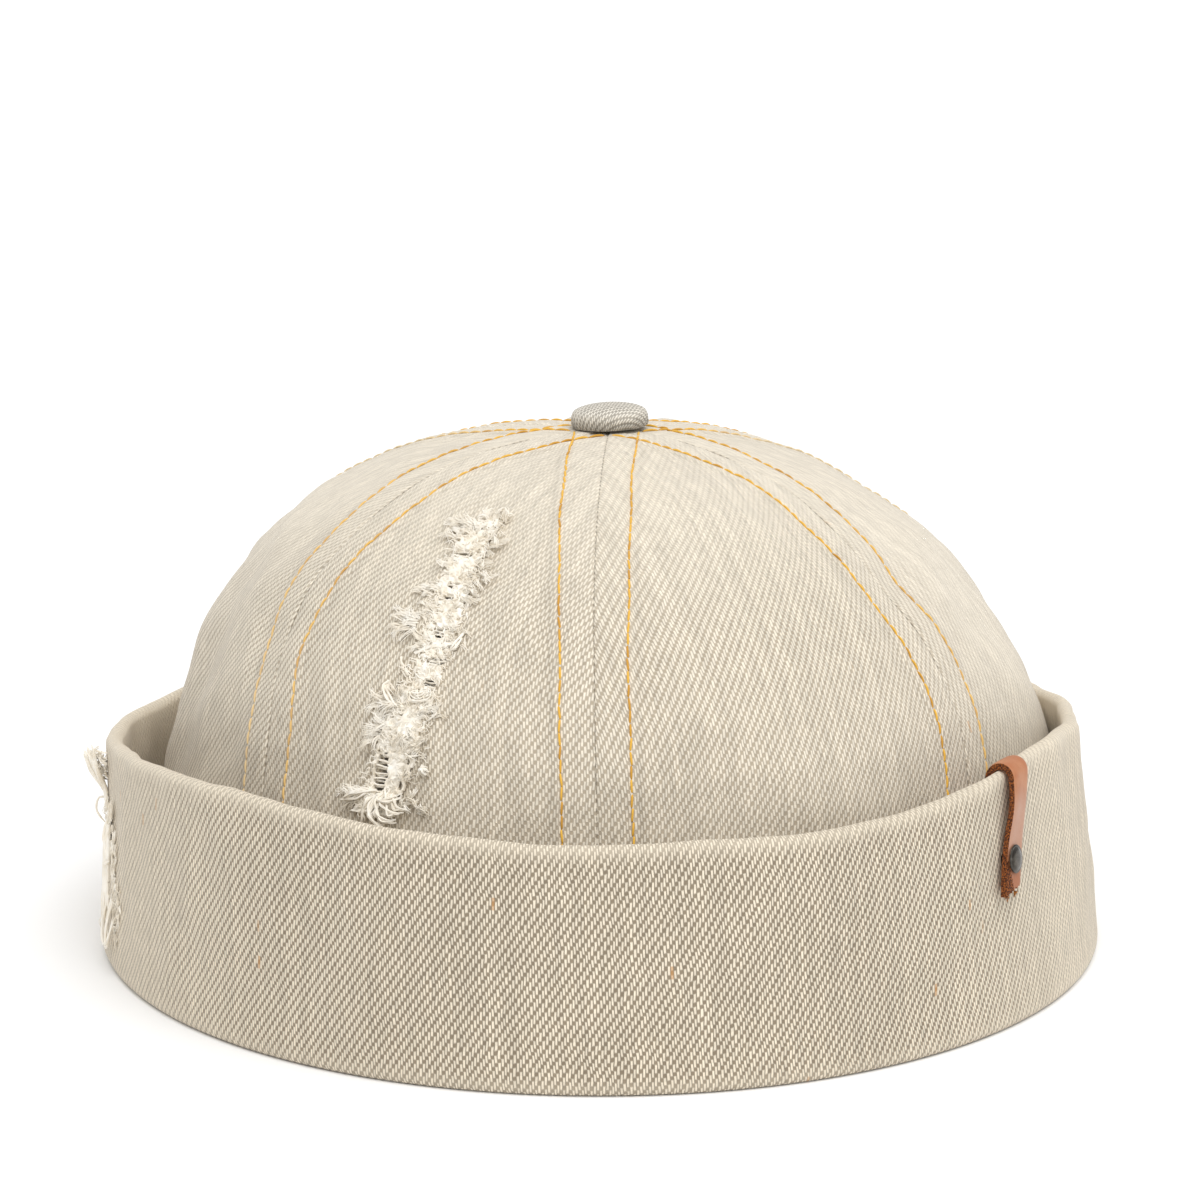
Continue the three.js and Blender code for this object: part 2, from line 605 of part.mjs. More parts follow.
const tab = new THREE.Group();
tab.applyMatrix4(tabPlace);
tab.add(meshOf('tab_strap', geometryOfSolid(solidOf(hairpin()).subtract(solidOf(postHole()))), leather));
tab.add(meshOf('tab_rivet', rivetGeometry(), gunmetal));
cap.add(tab);

const button = meshOf('top_button', buttonGeometry(), buttonCloth);
button.position.set(CROWN_SHIFT, 0, CROWN[CROWN.length - 2].height);
button.rotation.y = THREE.MathUtils.degToRad(-BUTTON_TILT);
cap.add(button);

// The origin is on the surface that the cap stands on, under the middle of its box.
const box = new THREE.Box3().setFromObject(cap, true);
const middle = box.getCenter(new THREE.Vector3());
cap.position.set(-middle.x, -middle.y, -box.min.z);

export default cap;
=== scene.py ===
# %% [markdown]
# A sailor cap in worn, undyed denim
# The real cap is cut from six gores that meet under a cloth-covered button. A doubled cuff turns up all
# round it, a short leather tab is riveted over the cuff's rim, and two places are torn and fluffed.
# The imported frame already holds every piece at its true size. This lesson keeps those places and sizes
# and makes the surfaces: twill, seams, topstitching, frayed threads, leather and metal.

# %% Load the frame
import math

import bpy
import numpy as np
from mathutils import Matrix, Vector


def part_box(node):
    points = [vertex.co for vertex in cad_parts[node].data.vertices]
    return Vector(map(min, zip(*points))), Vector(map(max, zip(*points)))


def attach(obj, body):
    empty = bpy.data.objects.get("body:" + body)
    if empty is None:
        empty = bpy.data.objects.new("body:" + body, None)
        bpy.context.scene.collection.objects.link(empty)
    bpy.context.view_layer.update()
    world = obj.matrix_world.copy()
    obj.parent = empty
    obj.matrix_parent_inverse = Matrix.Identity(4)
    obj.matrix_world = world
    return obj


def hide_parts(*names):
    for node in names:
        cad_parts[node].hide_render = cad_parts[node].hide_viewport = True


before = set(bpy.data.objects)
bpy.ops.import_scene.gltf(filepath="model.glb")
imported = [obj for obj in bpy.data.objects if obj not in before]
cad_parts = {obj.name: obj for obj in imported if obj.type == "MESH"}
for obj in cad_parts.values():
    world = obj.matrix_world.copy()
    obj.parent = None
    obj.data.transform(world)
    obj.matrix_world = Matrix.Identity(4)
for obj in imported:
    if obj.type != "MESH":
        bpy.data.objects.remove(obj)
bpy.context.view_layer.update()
print("nodes:", ", ".join(sorted(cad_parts)))

# %% [markdown]
# Where the cap is seen from
# The cap stands on a white floor, seen a little from above with a long lens, so its plan keeps its shape.
# A soft sun gives every part of the floor the same light, which one lamp near the cap would not, and the
# pale sky fills the shadows. Both are plain studio tools. Some cloth and thread finishes below also
# carry painted light and shade, named where they are made.

# %% Camera
MM = 0.001
VIEW_HEIGHT = 61.7 * MM
VIEW_DISTANCE = 800 * MM
VIEW_ELEVATION = math.radians(12.0)
LENS = 129.6
SENSOR = 36.0

scene = bpy.context.scene
camera_data = bpy.data.cameras.new("studio_camera")
camera_data.lens = LENS
camera_data.sensor_width = SENSOR
camera_data.clip_start = 0.01
camera = bpy.data.objects.new("studio_camera", camera_data)
back_off = VIEW_DISTANCE * math.cos(VIEW_ELEVATION)
camera.location = (0.9 * MM, -back_off, VIEW_HEIGHT + VIEW_DISTANCE * math.sin(VIEW_ELEVATION))
camera.rotation_euler = (math.pi / 2 - VIEW_ELEVATION, 0, 0)
scene.collection.objects.link(camera)
scene.camera = camera
print("camera is", round(camera.location.length / MM), "mm from the cap's foot")

# %% Light and floor
SKY_STRENGTH = 0.70
SUN_STRENGTH = 1.9
SUN_SPREAD = math.radians(60)
SUN_TURN = (math.radians(22), math.radians(10), 0)
FLOOR_HALF = 9.0
FLOOR_WHITE = 0.93

world = bpy.data.worlds.new("studio_sky")
world.use_nodes = True
world.node_tree.nodes["Background"].inputs["Color"].default_value = (1, 1, 1, 1)
world.node_tree.nodes["Background"].inputs["Strength"].default_value = SKY_STRENGTH
scene.world = world
sun_data = bpy.data.lights.new("studio_sun", "SUN")
sun_data.energy = SUN_STRENGTH
sun_data.angle = SUN_SPREAD
sun = bpy.data.objects.new("studio_sun", sun_data)
sun.rotation_euler = SUN_TURN
scene.collection.objects.link(sun)
scene.view_settings.view_transform = "Standard"

floor_mesh = bpy.data.meshes.new("studio_floor")
floor_corners = [(x * FLOOR_HALF, y * FLOOR_HALF, 0) for x, y in ((-1, -1), (1, -1), (1, 1), (-1, 1))]
floor_mesh.from_pydata(floor_corners, [], [(0, 1, 2, 3)])
floor = bpy.data.objects.new("studio_floor", floor_mesh)
floor_paint = bpy.data.materials.new("studio_floor")
floor_paint.use_nodes = True
floor_shader = floor_paint.node_tree.nodes["Principled BSDF"]
floor_shader.inputs["Base Color"].default_value = (FLOOR_WHITE, FLOOR_WHITE, FLOOR_WHITE, 1)
floor_shader.inputs["Roughness"].default_value = 1
floor_shader.inputs["Specular IOR Level"].default_value = 0
floor_mesh.materials.append(floor_paint)
scene.collection.objects.link(floor)
print("floor of", 2 * FLOOR_HALF, "m")

# %% [markdown]
# Arrays into meshes
# Cloth that follows a formula is easiest to shape with arrays: a grid of points over the formula, and the
# same grid a wall's thickness further in. Threads are also arrays: hundreds of bent tubes made in one go
# and joined into one mesh. The helpers here turn such arrays into objects, hang them on the cap's body and
# hide the frame's pieces that they stand for.

# %% A mesh from arrays
def mesh_piece(name, points, faces, material, attributes=None, sharp=None):
    """One object from points in millimetres, arrays of face corners, and a vector for each point."""
    used = np.unique(np.concatenate([part.ravel() for part in faces]))
    number = np.zeros(len(points), int)
    number[used] = np.arange(len(used))
    corners = [face for part in faces for face in number[part].tolist()]
    mesh = bpy.data.meshes.new(name)
    mesh.from_pydata((points[used] * MM).tolist(), [], corners, shade_flat=False)
    for label, values in (attributes or {}).items():
        layer = mesh.attributes.new(label, "FLOAT_VECTOR", "POINT")
        layer.data.foreach_set("vector", values[used].astype(np.float32).ravel())
    if sharp:
        mesh.set_sharp_from_angle(angle=math.radians(sharp))
    mesh.materials.append(material)
    piece = bpy.data.objects.new(name, mesh)
    scene.collection.objects.link(piece)
    return piece


def settle(piece, slot, *nodes):
    """The piece rides on the cap's one body and stands for its nodes, which are hidden. The slot is not used.
    """
    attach(piece, "root")
    if nodes:
        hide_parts(*nodes)
    triangles = sum(len(face.vertices) - 2 for face in piece.data.polygons)
    print(piece.name, "has", triangles, "triangles")
    return piece


# %% Closed walls and closed tubes
def wall_faces(keep):
    """Faces of a slab between two grids, one square for each True in keep, closed along every edge."""
    rows, columns = keep.shape[0] + 1, keep.shape[1] + 1
    number = np.arange(rows * columns).reshape(rows, columns)
    a, b, c, d = number[:-1, :-1], number[:-1, 1:], number[1:, 1:], number[1:, :-1]
    inner = rows * columns
    framed = np.pad(keep, 1)
    open_left = keep & ~framed[1:-1, :-2]
    open_right = keep & ~framed[1:-1, 2:]
    open_below = keep & ~framed[:-2, 1:-1]
    open_above = keep & ~framed[2:, 1:-1]
    quads = [
        ((a, b, c, d), keep),
        ((a + inner, d + inner, c + inner, b + inner), keep),
        ((a, d, d + inner, a + inner), open_left),
        ((b, b + inner, c + inner, c), open_right),
        ((a, a + inner, b + inner, b), open_below),
        ((d, c, c + inner, d + inner), open_above),
    ]
    return [np.stack(corners, -1)[where] for corners, where in quads]


def both_sides(outer, inner):
    """Two grids as one list of points, the way that wall_faces counts them."""
    return np.concatenate([outer.reshape(-1, 3), inner.reshape(-1, 3)])


def ring_walls(number):
    """Squares between each closed ring of point numbers and the next."""
    following = np.roll(number, -1, axis=-1)
    corners = number[..., :-1, :], following[..., :-1, :], following[..., 1:, :], number[..., 1:, :]
    return np.stack(corners, -1).reshape(-1, 4)


def unit(vectors):
    return vectors / np.linalg.norm(vectors, axis=-1, keepdims=True)


def tubes(paths, radii, sides):
    """Closed tubes along paths with the same number of points, each carried along without twisting."""
    count, length, _ = paths.shape
    tangent = unit(np.gradient(paths, axis=1))
    side = np.empty_like(tangent)
    side[:, 0] = unit(np.cross(tangent[:, 0], (0.31, 0.47, 0.83)))
    for ring in range(1, length):
        before, ahead = side[:, ring - 1], tangent[:, ring]
        side[:, ring] = unit(before - ahead * np.sum(before * ahead, axis=1, keepdims=True))
    other = np.cross(tangent, side)
    turn = np.arange(sides) * math.tau / sides
    spokes = (np.cos(turn)[:, None] * side[:, :, None, :] + np.sin(turn)[:, None] * other[:, :, None, :])
    points = (paths[:, :, None, :] + radii[:, :, None, None] * spokes).reshape(-1, 3)
    number = np.arange(count * length * sides).reshape(count, length, sides)
    return points, [ring_walls(number), number[:, 0, ::-1], number[:, -1]]


def joined(parts):
    """One set of points and faces from several."""
    points, faces, first = [], [], 0
    for part_points, part_faces in parts:
        points.append(part_points)
        faces += [part + first for part in part_faces]
        first += len(part_points)
    return np.concatenate(points), faces


# %% Smooth curves and soft unevenness
def smoothstep(low, high, value):
    share = np.clip((value - low) / (high - low), 0, 1)
    return share * share * (3 - 2 * share)


def run_along(line):
    """The length along a line of points up to each of them."""
    return np.concatenate([[0], np.cumsum(np.linalg.norm(np.diff(line, axis=0), axis=1))])


def curve_through(values, at, last):
    """A smooth curve through a column of numbers; at counts rows from 0, the first, to last."""
    index = np.clip(np.floor(at), 0, last - 1).astype(int)
    w = at - index
    p1, p2 = values[index], values[index + 1]
    p0 = np.where(index > 0, values[np.maximum(index - 1, 0)], 2 * p1 - p2)
    p3 = np.where(index + 2 < len(values), values[np.minimum(index + 2, len(values) - 1)], 2 * p2 - p1)
    bend = 2 * p0 - 5 * p1 + 4 * p2 - p3
    twist = -p0 + 3 * p1 - 3 * p2 + p3
    return 0.5 * (2 * p1 + (p2 - p0) * w + bend * w**2 + twist * w**3)


def unevenness(points, size, seed):
    """A soft hand-made unevenness between about -1 and 1, with hollows and swells of the given size."""
    chance = np.random.default_rng(seed)
    total = np.zeros(points.shape[:-1])
    waves = 7
    for _ in range(waves):
        direction = unit(chance.normal(size=3)) * math.tau / (size * chance.uniform(0.8, 1.6))
        total += np.sin(points @ direction + chance.uniform(0, math.tau))
    return total / math.sqrt(waves)


# %% [markdown]
# The cap's two surfaces
# Everything on this cap lies on one of two surfaces: the crown, or the cuff round it. Each is worked out
# by a function from a short table of sizes, the same ones that the frame was built from, so that whatever
# is placed by an azimuth and a height lands on the cloth. Azimuth 0 is the front and 90 the right.

# %% The crown's form
CROWN_SHIFT = 1.8
CROWN_TOP = 0.986
CROWN_COLUMNS = ("height", "left", "right", "front", "back", "setback", "seam_left", "seam_right")
CROWN = np.array([
    (3.1, 89.4, 89.4, 100.6, 100.6, 0, -47, 48),
    (18.0, 84.7, 86.2, 94.5, 91.0, 5, -47, 48.5),
    (35.0, 80.2, 84.0, 89.0, 84.5, 8, -48, 50),
    (50.0, 76.3, 79.3, 82.5, 80.5, 8, -50, 52),
    (62.0, 71.3, 71.2, 75.0, 74.0, 7, -53, 53),
    (72.0, 64.4, 62.1, 66.5, 66.0, 6, -54, 53),
    (80.0, 55.5, 50.2, 55.5, 55.5, 5, -54, 55),
    (86.5, 44.0, 38.4, 42.5, 43.5, 4, -55, 57),
    (91.2, 30.0, 24.8, 28.0, 28.5, 2, -57, 57.5),
    (93.4, 15.0, 12.8, 14.0, 14.5, 1, -59, 58),
    (94.0, 0, 0, 0, 0, 0, -61, 58),
    (93.4, -15.0, -12.8, -14.0, -14.5, -1, -62, 58),
])
# Azimuth, up, half span in degrees, half span in up, and depth in millimetres
CROWN_DENTS = (
    (-76, 0.33, 5, 0.13, 1.6),
    (-88, 0.3, 6, 0.14, -0.9),
    (-58, 0.4, 6, 0.07, 1.2),
    (58, 0.5, 9, 0.05, 1.3),
    (73, 0.43, 8, 0.07, 1.2),
    (6, 0.24, 8, 0.05, 0.8),
    (32, 0.22, 9, 0.06, -0.8),
    (96, 0.3, 9, 0.1, 1.4),
    (150, 0.42, 13, 0.08, 1.5),
    (-150, 0.34, 12, 0.07, 1.3),
    (-128, 0.55, 9, 0.07, 1.1),
)


def crown_column(name, up):
    last = len(CROWN) - 2
    return curve_through(CROWN[:, CROWN_COLUMNS.index(name)], np.asarray(up, float) * last, last)


def crown_form(azimuth, up):
    """The crown's outer form as it would be with no seams or dents."""
    azimuth, up = np.broadcast_arrays(np.asarray(azimuth, float), np.asarray(up, float))
    side, ahead = np.sin(np.radians(azimuth)), np.cos(np.radians(azimuth))
    across = np.where(side < 0, crown_column("left", up), crown_column("right", up))
    along = np.where(ahead > 0, crown_column("front", up), crown_column("back", up))
    x = CROWN_SHIFT * up + across * side
    y = crown_column("setback", up) * side**2 - along * ahead
    return np.stack([x, y, crown_column("height", up)], -1)


def humps(rows, azimuth, up):
    """The sum of a table's dents or waves, each a round hump of its own height and spans."""
    total = 0
    for centre, height, turn, rise, amount in rows:
        across = ((azimuth - centre + 180) % 360 - 180) / turn
        total = total + amount * np.exp(-(across**2 + ((up - height) / rise) ** 2))
    return total


def crown_at(azimuth, up, depth):
    """A point below the crown's form by depth, along the form's own normal."""
    step = 0.002
    here = crown_form(azimuth, up)
    around = crown_form(azimuth + 1, up) - crown_form(azimuth - 1, up)
    rise = crown_form(azimuth, up + step) - crown_form(azimuth, up - step)
    normal = unit(np.cross(around, rise))
    return here - normal * (depth + humps(CROWN_DENTS, azimuth, up))[..., None] + cap_shift


def crown_degree(up):
    """Millimetres round the crown for one degree of azimuth."""
    return np.radians(sum(crown_column(name, up) for name in ("left", "right", "front", "back")) / 4)


# %% The cuff's form
HALF_WIDTH = 93
HALF_LENGTH = 104.2
CUFF_WALL = 3
CUFF_HEIGHT = 41.3
RIM_LEAN = 3.4
RIM_SHIFT = -1.5
FOOT_THICK = 1.7
FOOT_REACH = 6.4
RIM_AZIMUTHS = (-180, -135, -105, -85, -62, -38, -20, 0, 20, 42, 62, 80, 105, 135, 180)
RIM_HEIGHTS = np.array(
    (36, 35.6, 36, 38.5, 42.6, 43.9, 42.9, 41.6, 41.8, 42.7, 45.2, 43.4, 39.6, 37, 36))
# Azimuth, height over the rim's, half span in degrees, half span in height, and millimetres outwards
CUFF_WAVES = (
    (-85, 0.6, 8, 0.3, -0.9),
    (6, 0.6, 9, 0.3, -0.7),
    (24, 0.75, 8, 0.3, 0.8),
    (-25, 0.95, 6, 0.3, 0.7),
    (46, 0.5, 6, 0.45, 0.8),
    (60, 0.45, 6, 0.45, -1.0),
    (71, 0.35, 4, 0.45, 0.6),
    (78, 0.9, 6, 0.35, 0.9),
    (160, 0.7, 12, 0.4, -1.0),
    (-150, 0.7, 11, 0.4, 0.9),
    (-112, 0.8, 9, 0.4, -0.8),
)


def rim_height(azimuth):
    at = np.interp(azimuth, RIM_AZIMUTHS, np.arange(len(RIM_AZIMUTHS)))
    return curve_through(RIM_HEIGHTS, at, len(RIM_HEIGHTS) - 1)


def cuff_at(azimuth, height, inset):
    """A point of the cuff, inset from its outer face."""
    azimuth, height = np.broadcast_arrays(np.asarray(azimuth, float), np.asarray(height, float))
    lean, up = height / CUFF_HEIGHT, height / rim_height(azimuth)
    outward = humps(CUFF_WAVES, azimuth, up) * np.clip(up, 0, 1) - RIM_LEAN * lean - inset
    turn = np.radians(azimuth)
    x = RIM_SHIFT * lean + (HALF_WIDTH + outward) * np.sin(turn)
    return np.stack([x, -(HALF_LENGTH + outward) * np.cos(turn), height], -1) + cap_shift


cap_shift = np.zeros(3)
cuff_left = (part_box("cuff")[0] / MM).x
cap_shift = np.array([cuff_left - cuff_at(-90, 1, 0)[0], 0, 0])
print("the cap stands", round(cap_shift[0], 2), "mm to the right of its own middle line")

# %% [markdown]
# Twill
# The cloth is a two-over-one twill: each upright warp yarn floats over two weft yarns and dives under one,
# a step higher on each yarn, which draws the diagonal. A material can weave it from two distances over the
# cloth, u across the warp and v along it, that each mesh carries for every point. Whole numbers of u say
# which yarn a point is on, and the place within the repeat says whether warp or weft shows there. That
# keeps every yarn parallel to its own gore's middle, as cut cloth has it, however the gore bends.

# %% Node helpers
def value_node(tree, operation, *inputs, clamp=False):
    """A Math node whose inputs are numbers or other nodes' outputs."""
    node = tree.nodes.new("ShaderNodeMath")
    node.operation = operation
    node.use_clamp = clamp
    for socket, given in zip(node.inputs, inputs):
        if isinstance(given, (int, float)):
            socket.default_value = given
        else:
            tree.links.new(given, socket)
    return node.outputs[0]


def ramp_node(tree, given, low, high, out_low=0.0, out_high=1.0):
    """A smooth step from out_low to out_high while the given value goes from low to high."""
    node = tree.nodes.new("ShaderNodeMapRange")
    node.interpolation_type = "SMOOTHSTEP"
    for socket, number in zip(node.inputs[1:5], (low, high, out_low, out_high)):
        socket.default_value = number
    tree.links.new(given, node.inputs[0])
    return node.outputs[0]


def tint_node(tree, share, colour, tint, blend="MIX"):
    """A colour with another laid over it by a share."""
    node = tree.nodes.new("ShaderNodeMix")
    node.data_type = "RGBA"
    node.blend_type = blend
    for socket, given in ((node.inputs["Factor"], share), (node.inputs[6], colour), (node.inputs[7], tint)):
        if isinstance(given, (int, float)):
            socket.default_value = given
        elif isinstance(given, tuple):
            socket.default_value = (*given, 1)
        else:
            tree.links.new(given, socket)
    return node.outputs[2]


def noise_node(tree, place, scale, detail=2.0):
    """Soft noise around 0.5 over a place."""
    node = tree.nodes.new("ShaderNodeTexNoise")
    node.inputs["Scale"].default_value = scale
    node.inputs["Detail"].default_value = detail
    tree.links.new(place, node.inputs["Vector"])
    return node.outputs["Fac"]


def away_node(tree, given, middle):
    """How far a value is from a middle, to either side."""
    return value_node(tree, "ABSOLUTE", value_node(tree, "SUBTRACT", given, middle))


def streaks_node(tree, grain, squeeze):
    """Light and dark along one set of yarns, by a noise that is squeezed across it."""
    node = tree.nodes.new("ShaderNodeMapping")
    node.inputs["Scale"].default_value = squeeze
    tree.links.new(grain, node.inputs["Vector"])
    return noise_node(tree, node.outputs[0], 1.0, 2)


def chance_node(tree, x, y):
    """A random number from 0 to 1 for each pair of whole numbers."""
    pair = tree.nodes.new("ShaderNodeCombineXYZ")
    tree.links.new(x, pair.inputs[0])
    tree.links.new(y, pair.inputs[1])
    node = tree.nodes.new("ShaderNodeTexWhiteNoise")
    node.noise_dimensions = "2D"
    tree.links.new(pair.outputs[0], node.inputs["Vector"])
    return node.outputs["Value"]


def point_values(tree, label):
    """The three numbers that a mesh carries under a label."""
    attribute = tree.nodes.new("ShaderNodeAttribute")
    attribute.attribute_name = label
    split = tree.nodes.new("ShaderNodeSeparateXYZ")
    tree.links.new(attribute.outputs["Vector"], split.inputs[0])
    return attribute.outputs["Vector"], *split.outputs


def new_finish(name, roughness, specular=0.3):
    """A material with its shader, whose constants sit on the shader's own sockets."""
    finish = bpy.data.materials.new(name)
    finish.use_nodes = True
    shader = finish.node_tree.nodes["Principled BSDF"]
    shader.inputs["Roughness"].default_value = roughness
    shader.inputs["Specular IOR Level"].default_value = specular
    return finish, finish.node_tree, shader


def paint(tree, shader, colour):
    tree.links.new(colour, shader.inputs["Base Color"])


def mottled_finish(name, surface, noise, edges, colours):
    """A finish of two colours that change over by a noise. The noise is given back to raise the surface."""
    finish, tree, shader = new_finish(name, *surface)
    mottle = noise_node(tree, tree.nodes.new("ShaderNodeNewGeometry").outputs["Position"], *noise)
    paint(tree, shader, tint_node(tree, ramp_node(tree, mottle, *edges), *colours))
    return finish, tree, shader, mottle


def raise_surface(tree, shader, height, distance, strength=1.0):
    """Bump from a height between 0 and 1, which stands for a distance in millimetres."""
    bump = tree.nodes.new("ShaderNodeBump")
    bump.inputs["Strength"].default_value = strength
    bump.inputs["Distance"].default_value = distance * MM
    tree.links.new(height, bump.inputs["Height"])
    tree.links.new(bump.outputs[0], shader.inputs["Normal"])


# %% Denim
WARP_PITCH = 0.50
WEFT_PITCH = 0.69
REPEAT = 3
HOLE_PITCH = 1.5
SLUB_ORANGE = (0.55, 0.27, 0.08)
SLUB_RARITY = (0.9996, 0.9999)
DARKEST_YARN = 0.72
YARN_SWAY = 1.6
DASH_EDGE = (0.3, 0.78)
GROOVE_EDGE = (0.26, 0.5)
RUBBED_AND_LIT = 1.06
SOIL_AND_SHADE = 0.42


def weave(tree, grain, u, v, fine, wale, parting):
    """Where weft shows beside the warp's floats, and a random number for each yarn and for each float."""
    sway = value_node(tree, "MULTIPLY_ADD", noise_node(tree, grain, 0.22, 1), YARN_SWAY, -YARN_SWAY / 2)
    yarn = value_node(tree, "MULTIPLY_ADD", u, fine / WARP_PITCH, sway)
    pick = value_node(tree, "MULTIPLY_ADD", v, fine / WEFT_PITCH, sway)
    warp_number = value_node(tree, "FLOOR", yarn)
    step = value_node(tree, "ADD", value_node(tree, "SUBTRACT", pick, warp_number), 1.0)
    in_repeat = value_node(tree, "SUBTRACT", value_node(tree, "FLOORED_MODULO", step, float(REPEAT)), 1.0)
    float_number = value_node(tree, "FLOOR", value_node(tree, "DIVIDE", step, float(REPEAT)))
    dash = ramp_node(tree, away_node(tree, in_repeat, 0.5), *DASH_EDGE, 1, 0)
    groove = ramp_node(tree, away_node(tree, value_node(tree, "FRACT", yarn), 0.5), *GROOVE_EDGE)
    dash = value_node(tree, "MULTIPLY", dash, wale)
    groove = value_node(tree, "MULTIPLY", groove, parting)
    yarn_chance = chance_node(tree, warp_number, value_node(tree, "MULTIPLY", warp_number, 0.37))
    float_chance = chance_node(tree, warp_number, float_number)
    return value_node(tree, "MAXIMUM", dash, groove), yarn_chance, float_chance


def painted_seam_shade(tree, seam, v):
    """Painted shade along the line where two pieces of cloth meet, darkest at a row of needle holes."""
    hole = value_node(tree, "FRACT", value_node(tree, "DIVIDE", v, HOLE_PITCH))
    hole = ramp_node(tree, away_node(tree, hole, 0.5), 0.12, 0.3, 1, 0.2)
    return value_node(tree, "MULTIPLY", ramp_node(tree, seam, 0.03, 0.2, 0.6, 0), hole)


def denim(name, warp, weft, relief=0.12, fine=1.0, wale=0.85, parting=0.8):
    """Twill of two colours. Meshes carry grain (u, v, seam) and wear_and_painted_light (pale from rubbing and
    painted light, dark from soil and painted shade, washed out).
    """
    finish, tree, shader = new_finish(name, 0.92, 0.2)
    shader.inputs["Sheen Weight"].default_value = 0.18
    shader.inputs["Sheen Roughness"].default_value = 0.5
    grain, u, v, seam = point_values(tree, "grain")
    _, pale, dark, washed = point_values(tree, "wear_and_painted_light")
    hidden, yarn_chance, float_chance = weave(tree, grain, u, v, fine, wale, parting)
    slub_light = streaks_node(tree, grain, (1.1, 0.05, 1))
    weft_light = streaks_node(tree, grain, (0.05, 0.9, 1))
    clear = value_node(tree, "MULTIPLY_ADD", washed, -0.75, 0.92)
    colour = tint_node(tree, value_node(tree, "MULTIPLY", hidden, clear), warp, weft)
    mottle = noise_node(tree, grain, 0.035, 3)
    lights = (yarn_chance, 0.14), (float_chance, 0.16), (slub_light, 0.18), (weft_light, 0.12), (mottle, 0.12)
    level = DARKEST_YARN
    for light, share in lights:
        level = value_node(tree, "MULTIPLY_ADD", light, share, level)
    grey = tree.nodes.new("ShaderNodeCombineColor")
    for socket in grey.inputs:
        tree.links.new(level, socket)
    colour = tint_node(tree, 1.0, colour, grey.outputs[0], "MULTIPLY")
    speck = ramp_node(tree, float_chance, *SLUB_RARITY)
    colour = tint_node(tree, value_node(tree, "MULTIPLY", speck, 0.6), colour, SLUB_ORANGE)
    # The pale share lays rubbed wear and painted light over the twill.
    pale_share = value_node(tree, "MULTIPLY", pale, 0.75, clamp=True)
    colour = tint_node(tree, pale_share, colour, tuple(min(1.0, channel * RUBBED_AND_LIT) for channel in warp))
    # The dark share lays soil and painted shade over it, and painted shade along each seam line.
    shade = value_node(tree, "MAXIMUM", dark, painted_seam_shade(tree, seam, v), clamp=True)
    colour = tint_node(tree, shade, colour, tuple(channel * SOIL_AND_SHADE for channel in weft))
    paint(tree, shader, colour)
    rounded = value_node(tree, "SUBTRACT", 1.0, value_node(tree, "MULTIPLY", hidden, 0.9))
    lift = value_node(tree, "MULTIPLY_ADD", slub_light, 0.5, rounded)
    raise_surface(tree, shader, lift, relief)
    return finish


CROWN_WARP = (0.72, 0.655, 0.545)
CROWN_WEFT = (0.315, 0.255, 0.18)
CUFF_WARP = (0.745, 0.662, 0.53)
CUFF_WEFT = (0.185, 0.142, 0.092)
crown_cloth = denim("crown_denim", CROWN_WARP, CROWN_WEFT)
cuff_cloth = denim("cuff_denim", CUFF_WARP, CUFF_WEFT, wale=0.95, parting=1.0)
print("twill repeats every", REPEAT * WARP_PITCH, "by", round(REPEAT * WEFT_PITCH, 2), "mm")

# %% [markdown]
# Gores
# A gore is a petal of cloth. Its two long edges are seams whose allowances are pressed open inside and
# topstitched, so a strip along each seam stands a little proud and puckers where the stitches pull. I build
# each gore as a wall between two grids, with columns close together over the strips, where the relief is,
# and wider apart in the field. The front left gore has two more stations in its grid, the edges of its
# tear, and the squares between them are left out.

# %% Seams
SEAM_STRIP = 6.5
SEAM_PROUD = 0.5
GORE_WALL = 2.1
SEAM_GAP = 0.01
STITCH_LINE = 0.45
THREAD_DENT = 0.16
SEAM_FOLD = 0.22
PULL = 0.07
SWELL = 0.12
BACK_SEAM = (112, 120)
FRONT_SEAM = -0.5
FRONT_SEAM_LEAN = 1.7


def front_seam(up):
    return FRONT_SEAM - FRONT_SEAM_LEAN * smoothstep(0.1, 0.7, up)


def left_front_seam(up):
    return crown_column("seam_left", up)


def right_front_seam(up):
    return crown_column("seam_right", up)


def right_back_seam(up):
    return BACK_SEAM[0] + (BACK_SEAM[1] - BACK_SEAM[0]) * up


def left_back_seam(up):
    return -right_back_seam(up)


def seam_relief(distance, along, seed):
    """How far the cloth lies below the crown's form, at a distance from a seam and a length along it."""
    chance = np.random.default_rng(seed)
    phase = chance.uniform(0, math.tau, 3)
    pull = np.sin(along / 1.35 + phase[0] + 1.2 * np.sin(along / 5.1 + phase[1]))
    swell = np.sin(along / 4.4 + phase[2])
    step = SEAM_PROUD * smoothstep(SEAM_STRIP - 0.4, SEAM_STRIP + 1.6, distance)
    thread = THREAD_DENT * np.exp(-(((distance - SEAM_STRIP + STITCH_LINE) / 0.4) ** 2))
    fold = SEAM_FOLD * np.exp(-((distance / 0.3) ** 2))
    pucker = (PULL * pull + SWELL * swell) * np.exp(-((distance / SEAM_STRIP - 0.6) / 0.7) ** 2)
    return step + thread + fold + pucker


print("seam strips are", SEAM_STRIP, "mm wide and", SEAM_PROUD, "mm proud")

